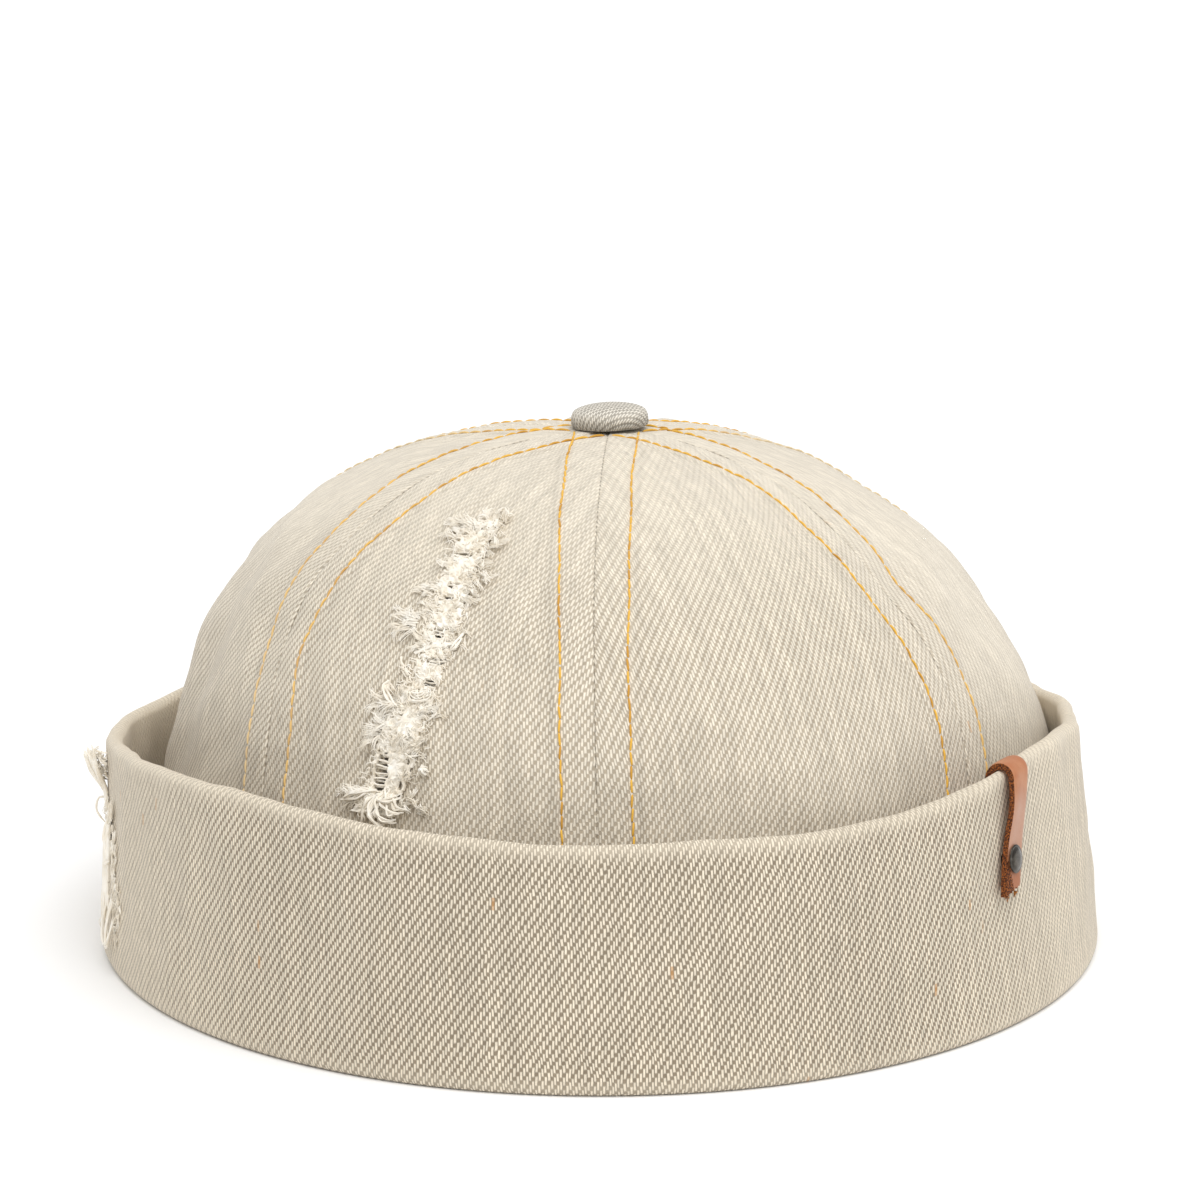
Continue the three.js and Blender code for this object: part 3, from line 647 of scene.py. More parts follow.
# %% The tear's outline
# Azimuth, up, and half the opening in millimetres
TEAR = np.array([
    (-29.9, 0.236, 0.0),
    (-29.4, 0.252, 1.2),
    (-29.1, 0.285, 1.3),
    (-28.4, 0.315, 1.2),
    (-26.6, 0.35, 1.2),
    (-24.9, 0.395, 1.2),
    (-24.4, 0.43, 1.9),
    (-25.0, 0.47, 1.0),
    (-25.6, 0.53, 0.9),
    (-26.6, 0.6, 1.2),
    (-27.0, 0.632, 0.9),
    (-25.0, 0.67, 0.0),
])
GORE_ROWS = 150
BROAD_SWELL = 0.4
SMALL_SWELL = 0.16
TEAR_LEAST = 0.25
MOST_WASHED = 0.85
STRIP_COLUMNS = 15
FIELD_COLUMNS = 46
TEAR_EDGE_COLUMNS = 21
TEAR_GAP_COLUMNS = 3


def tear_edges(up):
    """The azimuths of the tear's two ragged edges, and where along the gore it is open."""
    middle = np.interp(up, TEAR[:, 1], TEAR[:, 0])
    half = np.interp(up, TEAR[:, 1], TEAR[:, 2], 0, 0)
    chance = np.random.default_rng(5)
    ragged = half * (1 + 0.35 * chance.uniform(-1, 1, (2, len(up))))
    reach = np.maximum(ragged, TEAR_LEAST) / crown_degree(up)
    return middle - reach[0], middle + reach[1], half > 0


# %% Make the gores
def spread(left, right, count, last=False):
    """Evenly spaced columns between two stations of every row."""
    shares = np.linspace(0, 1, count + 1)[: None if last else -1]
    return left[:, None] + (right - left)[:, None] * shares


def gore_columns(up, left, right, torn):
    """The azimuths of a gore's columns, close together over the seam strips, and the squares to keep."""
    degree = crown_degree(up)
    width = (right - left) * degree
    strip = np.minimum(SEAM_STRIP + 1.2, 0.36 * width) / degree
    gap = SEAM_GAP / 2 / degree
    field = [spread(left + strip, right - strip, FIELD_COLUMNS)]
    if torn:
        edge_left, edge_right, opened = tear_edges(up)
        field = [
            spread(left + strip, edge_left, TEAR_EDGE_COLUMNS),
            spread(edge_left, edge_right, TEAR_GAP_COLUMNS),
            spread(edge_right, right - strip, TEAR_EDGE_COLUMNS),
        ]
    first_strip = spread(left + gap, left + strip, STRIP_COLUMNS)
    last_strip = spread(right - strip, right - gap, STRIP_COLUMNS, True)
    azimuth = np.concatenate([first_strip, *field, last_strip], 1)
    keep = np.ones((GORE_ROWS - 1, azimuth.shape[1] - 1), bool)
    if torn:
        first = STRIP_COLUMNS + TEAR_EDGE_COLUMNS
        keep[opened[:-1] & opened[1:], first:first + TEAR_GAP_COLUMNS] = False
    return azimuth, keep


def gore_wear_and_shade(azimuth, rows, seam):
    """How pale, dark and washed out each point of a gore is: the top and the right side are the palest, the
    seam ridges are rubbed pale, the valleys beside them carry painted shade, and the crown darkens towards
    its foot with soil and painted shade under the cuff's rim.
    """
    ridge = np.exp(-(((seam - SEAM_STRIP + 0.1) / 0.5) ** 2))
    # Painted shade in the valley where each proud seam strip steps down.
    valley_shade = np.exp(-(((seam - SEAM_STRIP - 1.0) / 0.5) ** 2))
    washed = 0.75 * smoothstep(0.42, 0.8, rows)
    washed = washed + 0.7 * smoothstep(54, 84, np.abs(azimuth)) * smoothstep(0.25, 0.7, rows)
    washed = washed + 0.6 * np.exp(-(((azimuth - 74) / 22) ** 2)) * smoothstep(0.05, 0.4, rows)
    # Soil and painted shade under the cuff's rim, darker towards the crown's foot.
    soil_and_rim_shade = 0.12 * (1 - smoothstep(0.05, 0.36, rows))
    return np.stack([0.3 * ridge, 0.12 * valley_shade + soil_and_rim_shade, np.minimum(washed, MOST_WASHED)], -1)


def gore_piece(name, from_seam, to_seam, node, seed, torn=False):
    up = np.linspace(0, CROWN_TOP, GORE_ROWS)
    left, right = from_seam(up), to_seam(up)
    azimuth, keep = gore_columns(up, left, right, torn)
    degree = crown_degree(up)[:, None]
    rows = np.broadcast_to(up[:, None], azimuth.shape)
    form = crown_form(azimuth, rows)
    middle = crown_form((left + right) / 2, up)
    along = run_along(middle)
    across = np.pad(np.cumsum(np.linalg.norm(np.diff(form, axis=1), axis=2), axis=1), ((0, 0), (1, 0)))
    across = across - across[:, -1:] / 2
    from_left = (azimuth - left[:, None]) * degree
    from_right = (right[:, None] - azimuth) * degree
    seam = np.minimum(from_left, from_right)
    length = np.broadcast_to(along[:, None], azimuth.shape)
    at_left, at_right = seam_relief(from_left, length, seed), seam_relief(from_right, length, seed + 1)
    relief = np.where(from_left < from_right, at_left, at_right)
    calm = smoothstep(0, 0.14, rows) * smoothstep(SEAM_STRIP, SEAM_STRIP + 6, seam)
    sway = calm * (BROAD_SWELL * unevenness(form, 24, 31) + SMALL_SWELL * unevenness(form, 9, 32))
    outer = crown_at(azimuth, rows, relief - sway)
    allowance = 0.35 * (1 - smoothstep(SEAM_STRIP - 0.2, SEAM_STRIP + 0.4, seam))
    inner = crown_at(azimuth, rows, GORE_WALL + allowance - sway)
    grain = np.stack([across, length, seam], -1)
    worn_and_painted = gore_wear_and_shade(azimuth, rows, seam)
    behind = np.stack([0 * seam, 0.25 + 0 * seam, 0 * seam], -1)
    attributes = {
        "grain": both_sides(grain, grain + (0, 0, 2)),
        "wear_and_painted_light": both_sides(worn_and_painted, behind),
    }
    piece = mesh_piece(name, both_sides(outer, inner), wall_faces(keep), crown_cloth, attributes, sharp=60)
    return settle(piece, "crown_denim", node)


def back_seam_from_left(up):
    return np.full_like(up, -180.0)


def back_seam_from_right(up):
    return np.full_like(up, 180.0)


GORES = (
    ("gore_front_left", left_front_seam, front_seam, "panel_front_left", 11),
    ("gore_front_right", front_seam, right_front_seam, "panel_front_right", 13),
    ("gore_right", right_front_seam, right_back_seam, "panel_right", 15),
    ("gore_back_right", right_back_seam, back_seam_from_right, "panel_back_right", 17),
    ("gore_back_left", back_seam_from_left, left_back_seam, "panel_back_left", 19),
    ("gore_left", left_back_seam, left_front_seam, "panel_left", 21),
)
for gore in GORES:
    gore_piece(*gore, torn=gore[0] == "gore_front_left")

# %% [markdown]
# Cuff
# The cuff is one band folded double along its rim, so its edge there is a soft round roll, a little uneven
# and rubbed pale, with a painted highlight along it. I sweep a closed section round the cap: up the outside,
# over the roll, down the inside and in under the crown. The band's two ends meet at a plain seam at the back.

# %% Make the cuff
CUFF_SECTIONS = 480
FOOT_ROUND = 1.6
TAB_AZIMUTH = 54.2
TAB_PINCH = 0.8
PINCH_SPAN = 5
END_GAP = 0.02


def cuff_loop(azimuth):
    """One section of the cuff for every azimuth, as insets and heights, from the foot up the outside."""
    rim = rim_height(azimuth)[:, None]
    one = np.ones_like(rim)
    wall = CUFF_WALL - TAB_PINCH * np.exp(-(((azimuth - TAB_AZIMUTH) / PINCH_SPAN) ** 2))[:, None]
    fold = wall / 2
    foot_turn = np.linspace(1.5 * math.pi, math.pi, 6)
    foot = (FOOT_ROUND * (1 + np.cos(foot_turn))) * one, (FOOT_ROUND * (1 + np.sin(foot_turn))) * one
    shares = np.linspace(0, 1, 26)[1:-1]
    outside = 0 * shares * one, FOOT_ROUND + (rim - fold - FOOT_ROUND) * shares
    roll = np.linspace(math.pi, 0, 12)
    over = fold * (1 + np.cos(roll)), rim + fold * (np.sin(roll) - 1)
    down = np.linspace(0, 1, 15)[1:]
    inside = wall + (CUFF_WALL - wall) * down, (rim - fold) * (1 - down) + (FOOT_THICK + 0.6) * down
    foot_top = np.array([CUFF_WALL + 0.5, 5.0, FOOT_REACH - 0.5, FOOT_REACH, FOOT_REACH - 0.4, 5.0, 3.2])
    foot_height = np.array([FOOT_THICK, FOOT_THICK, FOOT_THICK, 0.85, 0.0, 0.0, 0.0])
    under = foot_top * one, foot_height * one
    parts = (foot, outside, over, inside, under)
    return np.concatenate([part[0] for part in parts], 1), np.concatenate([part[1] for part in parts], 1)


def cuff_wear_and_light_at(turn, height, inset):
    """How pale, dark and washed out the cuff is: the rim rubbed pale with a painted highlight, the foot
    rubbed pale, the inside lightened by painted bounce light, washed at the sides.
    """
    # The rim's pale band is rubbed wear together with a painted highlight along the roll.
    rim = np.exp(-(((height - rim_height(turn) + 0.4) / 1.5) ** 2))
    foot = np.exp(-(((height - 1.2) / 1.2) ** 2)) * (inset < 2)
    # Paleness on the inside and under the foot is painted bounce light in the cuff's shade.
    inner = smoothstep(CUFF_WALL - 0.6, CUFF_WALL, inset)
    washed = 0.45 * smoothstep(36, 72, np.abs(turn))
    return np.stack([0.6 * rim + 0.3 * foot + inner, 0 * inner, washed], -1)


def cuff_piece():
    azimuth = np.linspace(-180, 180, CUFF_SECTIONS)
    azimuth[[0, -1]] += END_GAP, -END_GAP
    inset, height = cuff_loop(azimuth)
    turn = np.broadcast_to(azimuth[:, None], inset.shape)
    plain = cuff_at(turn, height, inset)
    up = height / rim_height(azimuth)[:, None]
    near_tab = np.exp(-(((turn - TAB_AZIMUTH) / 6) ** 2))
    near_end = np.exp(-(((180 - np.abs(turn)) / 0.5) ** 2))
    calm = smoothstep(0.02, 0.3, up) * (1 - near_tab)
    sway = calm * (BROAD_SWELL * unevenness(plain, 26, 41) + 0.18 * unevenness(plain, 9, 42))
    level = plain * (1, 1, 0)
    sag = 0.22 * unevenness(level, 19, 43) + 0.04 * unevenness(level, 6, 44)
    sag = sag * smoothstep(0.6, 1, up) * (1 - near_tab)
    creep = np.where(inset < CUFF_WALL / 2, 1, -1) * 0.5 * near_end * smoothstep(0.02, 0.1, up)
    points = cuff_at(turn, height + sag, inset - sway + creep)
    along = np.cumsum(np.linalg.norm(np.diff(plain, axis=1, prepend=plain[:, :1]), axis=2), axis=1)
    mid = cuff_at(azimuth, 20, 0)
    around = run_along(mid)
    around = np.broadcast_to(around[:, None], inset.shape) - around[-1] / 2
    seam = (180 - np.abs(turn)) * math.radians(HALF_LENGTH)
    grain = np.stack([around, along, seam], -1)
    worn_and_painted = cuff_wear_and_light_at(turn, height, inset)
    sections, corners = inset.shape
    number = np.arange(sections * corners).reshape(sections, corners)
    faces = [ring_walls(number)[:, [0, 3, 2, 1]], number[:1], number[-1:, ::-1]]
    attributes = {"grain": grain.reshape(-1, 3), "wear_and_painted_light": worn_and_painted.reshape(-1, 3)}
    piece = mesh_piece("cuff_band", points.reshape(-1, 3), faces, cuff_cloth, attributes, sharp=60)
    return settle(piece, "cuff_denim", "cuff")


cuff_piece()

# %% [markdown]
# Topstitching
# Two rows of yellow thread hold down each seam's allowances. Each stitch is a short bent tube that comes up
# out of one needle hole and dives into the next. A stitched line made by hand wanders a little, so the row
# is placed by a distance from the seam plus a slow drift, and every stitch gets a small turn of its own.

# %% Thread
THREAD_RADIUS = 0.21
STITCH_PITCH = 2.4
STITCH_LENGTH = 2.32
STITCH_SIDES = 6
STITCH_RINGS = 9
STITCH_LIFT = 0.3
STITCH_DIVE = 0.13
BUTTON_EDGE = 7.3
THREAD_YELLOW = (0.80, 0.46, 0.06)
THREAD_BROWN = (0.42, 0.17, 0.02)
THREAD_FADED = (0.74, 0.60, 0.38)
NEEDLE_HOLE_SHADE = (0.2, 0.09, 0.03)


def thread_finish():
    """Yellow thread, browner on some stitches, faded on others, with painted shade at its ends where it dives
    into the needle holes.
    """
    finish, tree, shader = new_finish("stitch_thread", 0.6, 0.3)
    shader.inputs["Sheen Weight"].default_value = 0.1
    _, along, chance, fade = point_values(tree, "grain")
    colour = tint_node(tree, ramp_node(tree, chance, 0.4, 1.0, 0.0, 0.6), THREAD_YELLOW, THREAD_BROWN)
    colour = tint_node(tree, fade, colour, THREAD_FADED)
    # Painted shade where each stitch sinks into its needle holes.
    hole_shade = ramp_node(tree, away_node(tree, along, 0.5), 0.42, 0.5, 0, 0.5)
    colour = tint_node(tree, hole_shade, colour, NEEDLE_HOLE_SHADE)
    paint(tree, shader, colour)
    return finish


def stitch_row(gore, edge, seed, fade):
    """The stitches down one edge of a gore, and the three numbers that each of their points carries."""
    _, from_seam, to_seam, _, gore_seed = gore
    chance = np.random.default_rng(seed)
    up = np.linspace(0.004, 0.985, 900)
    left, right = from_seam(up), to_seam(up)
    degree = crown_degree(up)
    radius = np.degrees(degree)
    middle = crown_form((left + right) / 2, up)
    length = run_along(middle)
    phase = chance.uniform(0, math.tau, 2)
    drift = 0.16 * np.sin(length / 9 + phase[0]) + 0.1 * np.sin(length / 3.7 + phase[1])
    distance = SEAM_STRIP - STITCH_LINE + drift
    aside = np.degrees(np.arcsin(np.minimum(distance / radius, 0.98)))
    azimuth = left + aside if edge == "left" else right - aside
    relief = seam_relief(distance, length, gore_seed + (edge == "right"))
    relief = relief * (distance < 0.5 * (right - left) * degree)
    last = length[np.argmax(radius < BUTTON_EDGE)]
    total = int(last / STITCH_PITCH)
    start = last - STITCH_PITCH * (np.arange(total) + 1) + chance.uniform(-0.08, 0.08, total)
    share = np.linspace(0, 1, STITCH_RINGS)
    at = start[:, None] + STITCH_LENGTH * share
    slant = chance.uniform(-0.16, 0.16, (total, 1)) * (2 * share - 1) / np.interp(at, length, degree)
    lift = STITCH_LIFT * np.sin(math.pi * share) ** 0.6 - STITCH_DIVE
    stitch_up = np.interp(at, length, up)
    paths = crown_at(np.interp(at, length, azimuth) + slant, stitch_up, np.interp(at, length, relief) - lift)
    radii = THREAD_RADIUS * (0.8 + 0.2 * np.sin(math.pi * share) ** 0.5) * np.ones((total, 1))
    points, faces = tubes(paths, radii, STITCH_SIDES)
    fading = np.clip(fade * (1.15 - stitch_up * 1.3), 0, 1)
    carried = np.stack([share + 0 * at, chance.uniform(0, 1, (total, 1)) + 0 * at, fading], -1)
    return points, faces, np.repeat(carried.reshape(-1, 3), STITCH_SIDES, axis=0)


# %% Sew the six seams
STITCH_FADE = {
    ("gore_left", "left"): 6, ("gore_left", "right"): 0.9, ("gore_front_left", "left"): 0.5,
    ("gore_right", "left"): 0.4, ("gore_right", "right"): 6,
}


def sew():
    rows, carried = [], []
    for number, gore in enumerate(GORES):
        for edge in ("left", "right"):
            fade = STITCH_FADE.get((gore[0], edge), 0.0)
            points, faces, values = stitch_row(gore, edge, 60 + 2 * number + (edge == "right"), fade)
            rows.append((points, faces))
            carried.append(values)
    points, faces = joined(rows)
    piece = mesh_piece("topstitching", points, faces, thread_finish(), {"grain": np.concatenate(carried)})
    return settle(piece, "crown_denim")


sew()

# %% [markdown]
# Torn threads
# Where denim wears through, the warp breaks first. Its ends fluff up into white tufts, and the weft is left
# as a ladder of single yarns across the hole. Three kinds of thing draw it: a low bed of matted lint, whole
# yarns that bend and loop, and wisps, each a few fibres that leave the cloth together and gather to a point.
# All are placed in millimetres over the cloth and then laid on its surface.

# %% Places over the cloth
def rise_of(azimuth, up):
    """Millimetres along the crown for one unit of up."""
    step = 0.01
    rise = crown_form(azimuth, up + step) - crown_form(azimuth, up - step)
    return np.linalg.norm(rise, axis=-1) / (2 * step)


def over_crown(azimuth, up, across, along, out):
    """Points over the crown, from millimetres across it to the right, up along it and out of it."""
    place = azimuth + across / crown_degree(up)
    return crown_at(place, up + along / rise_of(azimuth, up), SEAM_PROUD - out)


def over_cuff(azimuth, height, across, along, out):
    """Points over the cuff's outer face, in the same way."""
    return cuff_at(azimuth + across / math.radians(HALF_LENGTH), height + along, -out)


# %% Wisps and yarns
FIBRES_IN_WISP = 9
FIBRE_RINGS = 7
FIBRE_RADIUS = 0.095


def wisps(over, tufts, seed, radius=FIBRE_RADIUS):
    """Fibres for each tuft: its place, width, height, aim in degrees, reach, loft and number of wisps."""
    chance = np.random.default_rng(seed)
    share = np.linspace(0, 1, FIBRE_RINGS)
    parts = []
    for azimuth, up, wide, tall, aim, length, rise, count in tufts:
        each = (count, 1, 1)
        every = (count, FIBRES_IN_WISP, 1)
        heading = math.radians(aim) + chance.normal(0, 0.5, each)
        bend = chance.normal(0, 0.8, each) + chance.normal(0, 0.22, every)
        reach = length * chance.uniform(0.5, 1.15, each) * chance.uniform(0.7, 1.05, every)
        gather = 1 - 0.7 * share
        aside, above = chance.normal(0, 0.34, every) * gather, chance.normal(0, 0.2, every) * gather
        curl = 0.2 * np.sin(share * chance.uniform(4, 9, every) + chance.uniform(0, math.tau, every))
        direction = heading + bend * share + curl
        step = reach / (FIBRE_RINGS - 1)
        x = chance.uniform(-0.5, 0.5, each) * wide + np.cumsum(np.cos(direction) * step, axis=2)
        y = chance.uniform(-0.5, 0.5, each) * tall + np.cumsum(np.sin(direction) * step, axis=2)
        loft = rise * chance.uniform(0.3, 1.1, each)
        out = loft * np.sin(math.pi * (0.06 + 0.7 * share)) + above
        x, y, out = x - np.sin(heading) * aside, y + np.cos(heading) * aside, np.maximum(out, 0.08)
        paths = over(azimuth, up, x, y, out).reshape(-1, FIBRE_RINGS, 3)
        radii = np.broadcast_to(radius * (1 - 0.5 * share), paths.shape[:2])
        parts.append(tubes(paths, radii, 3))
    return joined(parts)


def yarns(over, rows, seed, rings=25, sides=7):
    """Yarns. A row gives a place, a radius, and points in millimetres across, along and out from there."""
    chance = np.random.default_rng(seed)
    share = np.linspace(0, 1, rings)
    parts = []
    for azimuth, up, radius, *route in rows:
        route = np.array(route, float)
        at = share * (len(route) - 1)
        x, y, out = (curve_through(route[:, axis], at, len(route) - 1) for axis in range(3))
        wave = chance.uniform(0, math.tau, 3)
        x = x + 0.09 * np.sin(share * 11 + wave[0])
        y = y + 0.09 * np.sin(share * 9 + wave[1])
        path = over(azimuth, up, x, y, out)[None]
        radii = radius * (1 + 0.12 * np.sin(share * 23 + wave[2])) * (1 - 0.75 * share**7)
        parts.append(tubes(path, radii[None], sides))
    return joined(parts)


# %% Cotton
def cotton_finish():
    """Loose cotton: dull and soft, whiter in some wisps than in others."""
    colours = (0.88, 0.815, 0.70), (0.96, 0.92, 0.84)
    finish, _, shader, _ = mottled_finish("loose_cotton", (1.0, 0.05), (420, 2), (0.35, 0.7), colours)
    shader.inputs["Sheen Weight"].default_value = 0.2
    return finish


cotton = cotton_finish()

# %% The bed of lint along the crown's tear
# Azimuth, up, reach to the left, reach to the right, and loft
BED = np.array([
    (-30.3, 0.232, 4.4, 5.4, 0.9),
    (-29.2, 0.262, 3.4, 5.2, 0.7),
    (-28.6, 0.3, 3.0, 5.6, 0.6),
    (-27.4, 0.335, 4.6, 4.4, 1.0),
    (-26.2, 0.365, 4.4, 3.4, 1.0),
    (-25.2, 0.4, 3.4, 2.6, 0.7),
    (-24.8, 0.44, 3.2, 3.0, 0.8),
    (-25.2, 0.48, 4.4, 3.2, 0.9),
    (-25.6, 0.53, 3.8, 3.2, 0.8),
    (-26.0, 0.58, 2.6, 3.8, 0.7),
    (-26.6, 0.632, 3.4, 2.8, 0.9),
    (-24.8, 0.668, 2.4, 1.8, 0.7),
    (-23.6, 0.682, 1.4, 1.0, 0.4),
])
BED_ROWS = 190
BED_WIDTH = 46
HOLES = (
    (-29.3, 0.2785, 1.35, 3.5),
    (-26.8, 0.602, 1.7, 0.7),
    (-26.9, 0.648, 1.2, 0.55),
    (-25.6, 0.546, 1.2, 0.6),
    (-25.5, 0.525, 1.0, 0.5),
    (-25.0, 0.467, 1.0, 0.9),
    (-24.1, 0.426, 2.6, 0.55),
    (-24.5, 0.395, 1.3, 0.75),
)


def inside_hole(azimuth, up, grown=1.0):
    """True where a place over the crown lies in one of the tear's open holes."""
    found = np.zeros(np.broadcast(azimuth, up).shape, bool)
    for hole_azimuth, hole_up, half_width, half_height in HOLES:
        across = (azimuth - hole_azimuth) * crown_degree(hole_up) / (grown * half_width)
        along = (up - hole_up) * rise_of(hole_azimuth, hole_up) / (grown * half_height)
        found |= across**2 + along**2 < 1
    return found


def lint_bed():
    up = np.linspace(BED[0, 1], BED[-1, 1], BED_ROWS)[:, None]
    share = np.linspace(-1, 1, BED_WIDTH)[None]
    middle, left, right, loft = (np.interp(up, BED[:, 1], BED[:, column]) for column in (0, 2, 3, 4))
    across = share * np.where(share < 0, left, right)
    azimuth = middle + across / crown_degree(up)
    mm = np.stack([across + 0 * up, up * rise_of(-26, 0.45) + 0 * across, 0 * across * up], -1)
    ragged = 0.3 * unevenness(mm, 2.6, 51) + 0.25 * unevenness(mm * (1, 2.2, 0), 1.1, 52)
    matted = 0.3 * unevenness(mm * (1, 2.6, 0), 1.3, 53) + 0.22 * unevenness(mm * (0.7, 2.2, 0), 0.6, 54)
    body = np.clip(1.15 - np.abs(share) ** 2.5 + 0.7 * ragged, 0, 1.3)
    height = loft * body * (0.75 + matted) + 0 * across
    height = np.where(inside_hole(azimuth, up + 0 * azimuth), 0, height)
    rows = up + 0 * azimuth
    outer = crown_at(azimuth, rows, SEAM_PROUD - np.maximum(height, 0.02))
    inner = crown_at(azimuth, rows, SEAM_PROUD + 0.25)
    filled = height > 0.12
    keep = filled[:-1, :-1] & filled[1:, :-1] & filled[:-1, 1:] & filled[1:, 1:]
    return both_sides(outer, inner), wall_faces(keep)


def lint_fibres(count, seed):
    """Short fibres lying every way over the bed, but not across its holes."""
    chance = np.random.default_rng(seed)
    up = chance.uniform(BED[0, 1], BED[-1, 1], count)
    middle, left, right, loft = (np.interp(up, BED[:, 1], BED[:, column]) for column in (0, 2, 3, 4))
    spot = np.clip(chance.normal(0, 0.55, count), -1.15, 1.15)
    across = spot * np.where(spot < 0, left, right)
    azimuth = middle + across / crown_degree(up)
    free = ~inside_hole(azimuth, up, 1.15)
    azimuth, up, loft, spot = azimuth[free], up[free], loft[free], spot[free]
    number = len(up)
    share = np.linspace(0, 1, FIBRE_RINGS)
    heading = np.where(spot < 0, math.pi, 0) + chance.normal(0, 0.8, number)
    bend = chance.normal(0, 1.2, number)
    curl = 0.4 * np.sin(share * 7 + chance.uniform(0, 6, (number, 1)))
    direction = heading[:, None] + bend[:, None] * share + curl
    step = chance.uniform(0.8, 1.9, number)[:, None] / (FIBRE_RINGS - 1)
    x = np.cumsum(np.cos(direction) * step, axis=1)
    y = np.cumsum(np.sin(direction) * step, axis=1)
    base = 0.75 * loft * np.clip(1.1 - np.abs(spot) ** 2.5, 0.1, 1)
    out = base[:, None] + chance.uniform(0.05, 0.5, (number, 1)) * np.sin(math.pi * (0.1 + 0.8 * share))
    place = azimuth[:, None] + x / crown_degree(up)[:, None]
    rows = up[:, None] + y / rise_of(azimuth, up)[:, None]
    paths = crown_at(place, rows, SEAM_PROUD - out)
    radii = FIBRE_RADIUS * (1.1 - 0.5 * share) * np.ones((number, 1))
    return tubes(paths, radii, 3)


# %% The crown's tufts, ladder and loops
CROWN_TUFTS = (
    (-24.0, 0.674, 3.0, 2.2, 60, 2.6, 1.3, 11),
    (-25.4, 0.672, 1.6, 1.6, 130, 3.2, 1.3, 7),
    (-28.4, 0.650, 4.0, 2.6, 165, 3.6, 1.6, 17),
    (-29.8, 0.636, 2.6, 2.4, 160, 3.0, 1.3, 9),
    (-26.4, 0.640, 4.0, 2.2, 100, 2.2, 1.2, 9),
    (-24.2, 0.622, 3.4, 4.0, -10, 2.8, 0.8, 10),
    (-28.2, 0.585, 2.4, 3.0, 190, 2.2, 0.8, 7),
    (-23.0, 0.580, 3.4, 4.6, -20, 3.0, 1.0, 15),
    (-28.4, 0.535, 3.6, 3.4, 175, 2.8, 1.3, 12),
    (-23.2, 0.530, 3.0, 4.6, -10, 2.6, 1.0, 12),
    (-29.9, 0.482, 3.6, 2.8, 190, 3.8, 1.7, 18),
    (-27.2, 0.495, 3.6, 3.0, 150, 2.4, 1.4, 11),
    (-22.6, 0.475, 2.4, 3.6, -60, 2.4, 1.0, 9),
    (-26.9, 0.452, 3.0, 2.0, 190, 2.4, 1.1, 8),
    (-28.6, 0.405, 2.0, 2.0, 120, 1.8, 0.9, 5),
    (-29.4, 0.362, 3.0, 3.0, 215, 3.8, 1.7, 17),
    (-27.4, 0.362, 4.0, 3.0, 100, 2.8, 1.6, 14),
    (-24.6, 0.362, 3.6, 3.6, 10, 2.6, 1.2, 13),
    (-30.6, 0.326, 3.0, 3.2, 200, 3.4, 1.4, 13),
    (-27.0, 0.328, 5.0, 2.4, 250, 2.4, 1.5, 13),
    (-24.6, 0.315, 3.4, 3.6, 20, 2.0, 0.8, 10),
    (-26.0, 0.282, 3.4, 4.4, 40, 1.8, 0.7, 11),
    (-23.2, 0.286, 1.2, 1.2, 90, 1.2, 1.1, 7),
    (-25.0, 0.250, 5.0, 2.2, 20, 2.2, 1.1, 11),
    (-31.8, 0.250, 3.0, 2.0, 190, 3.6, 1.0, 9),
    (-29.0, 0.242, 3.6, 2.2, 220, 2.4, 1.2, 8),
)
LADDER_YARN = 0.2
LADDER_TOP = 0.302
LADDER_PITCH = 1.08
CLOSE_PITCH = 0.8
BEHIND = 0.9
PLIES = 3
PLY_SHARE = 0.58
PLY_SLACK = 0.32
LINT_FIBRES = 1320


def loosened(rows, seed, slack):
    """Every yarn of the table as a few thinner plies that part from one another."""
    chance = np.random.default_rng(seed)
    loose = []
    for azimuth, up, radius, *places in rows:
        for _ in range(PLIES):
            moved = np.array(places) + chance.normal(0, slack, (len(places), 3)) * (1, 1, 0.5)
            moved[:, 2] = np.maximum(moved[:, 2], 0.3)
            loose.append((azimuth, up, PLY_SHARE * radius * chance.uniform(0.8, 1.1), *map(tuple, moved)))
    return loose


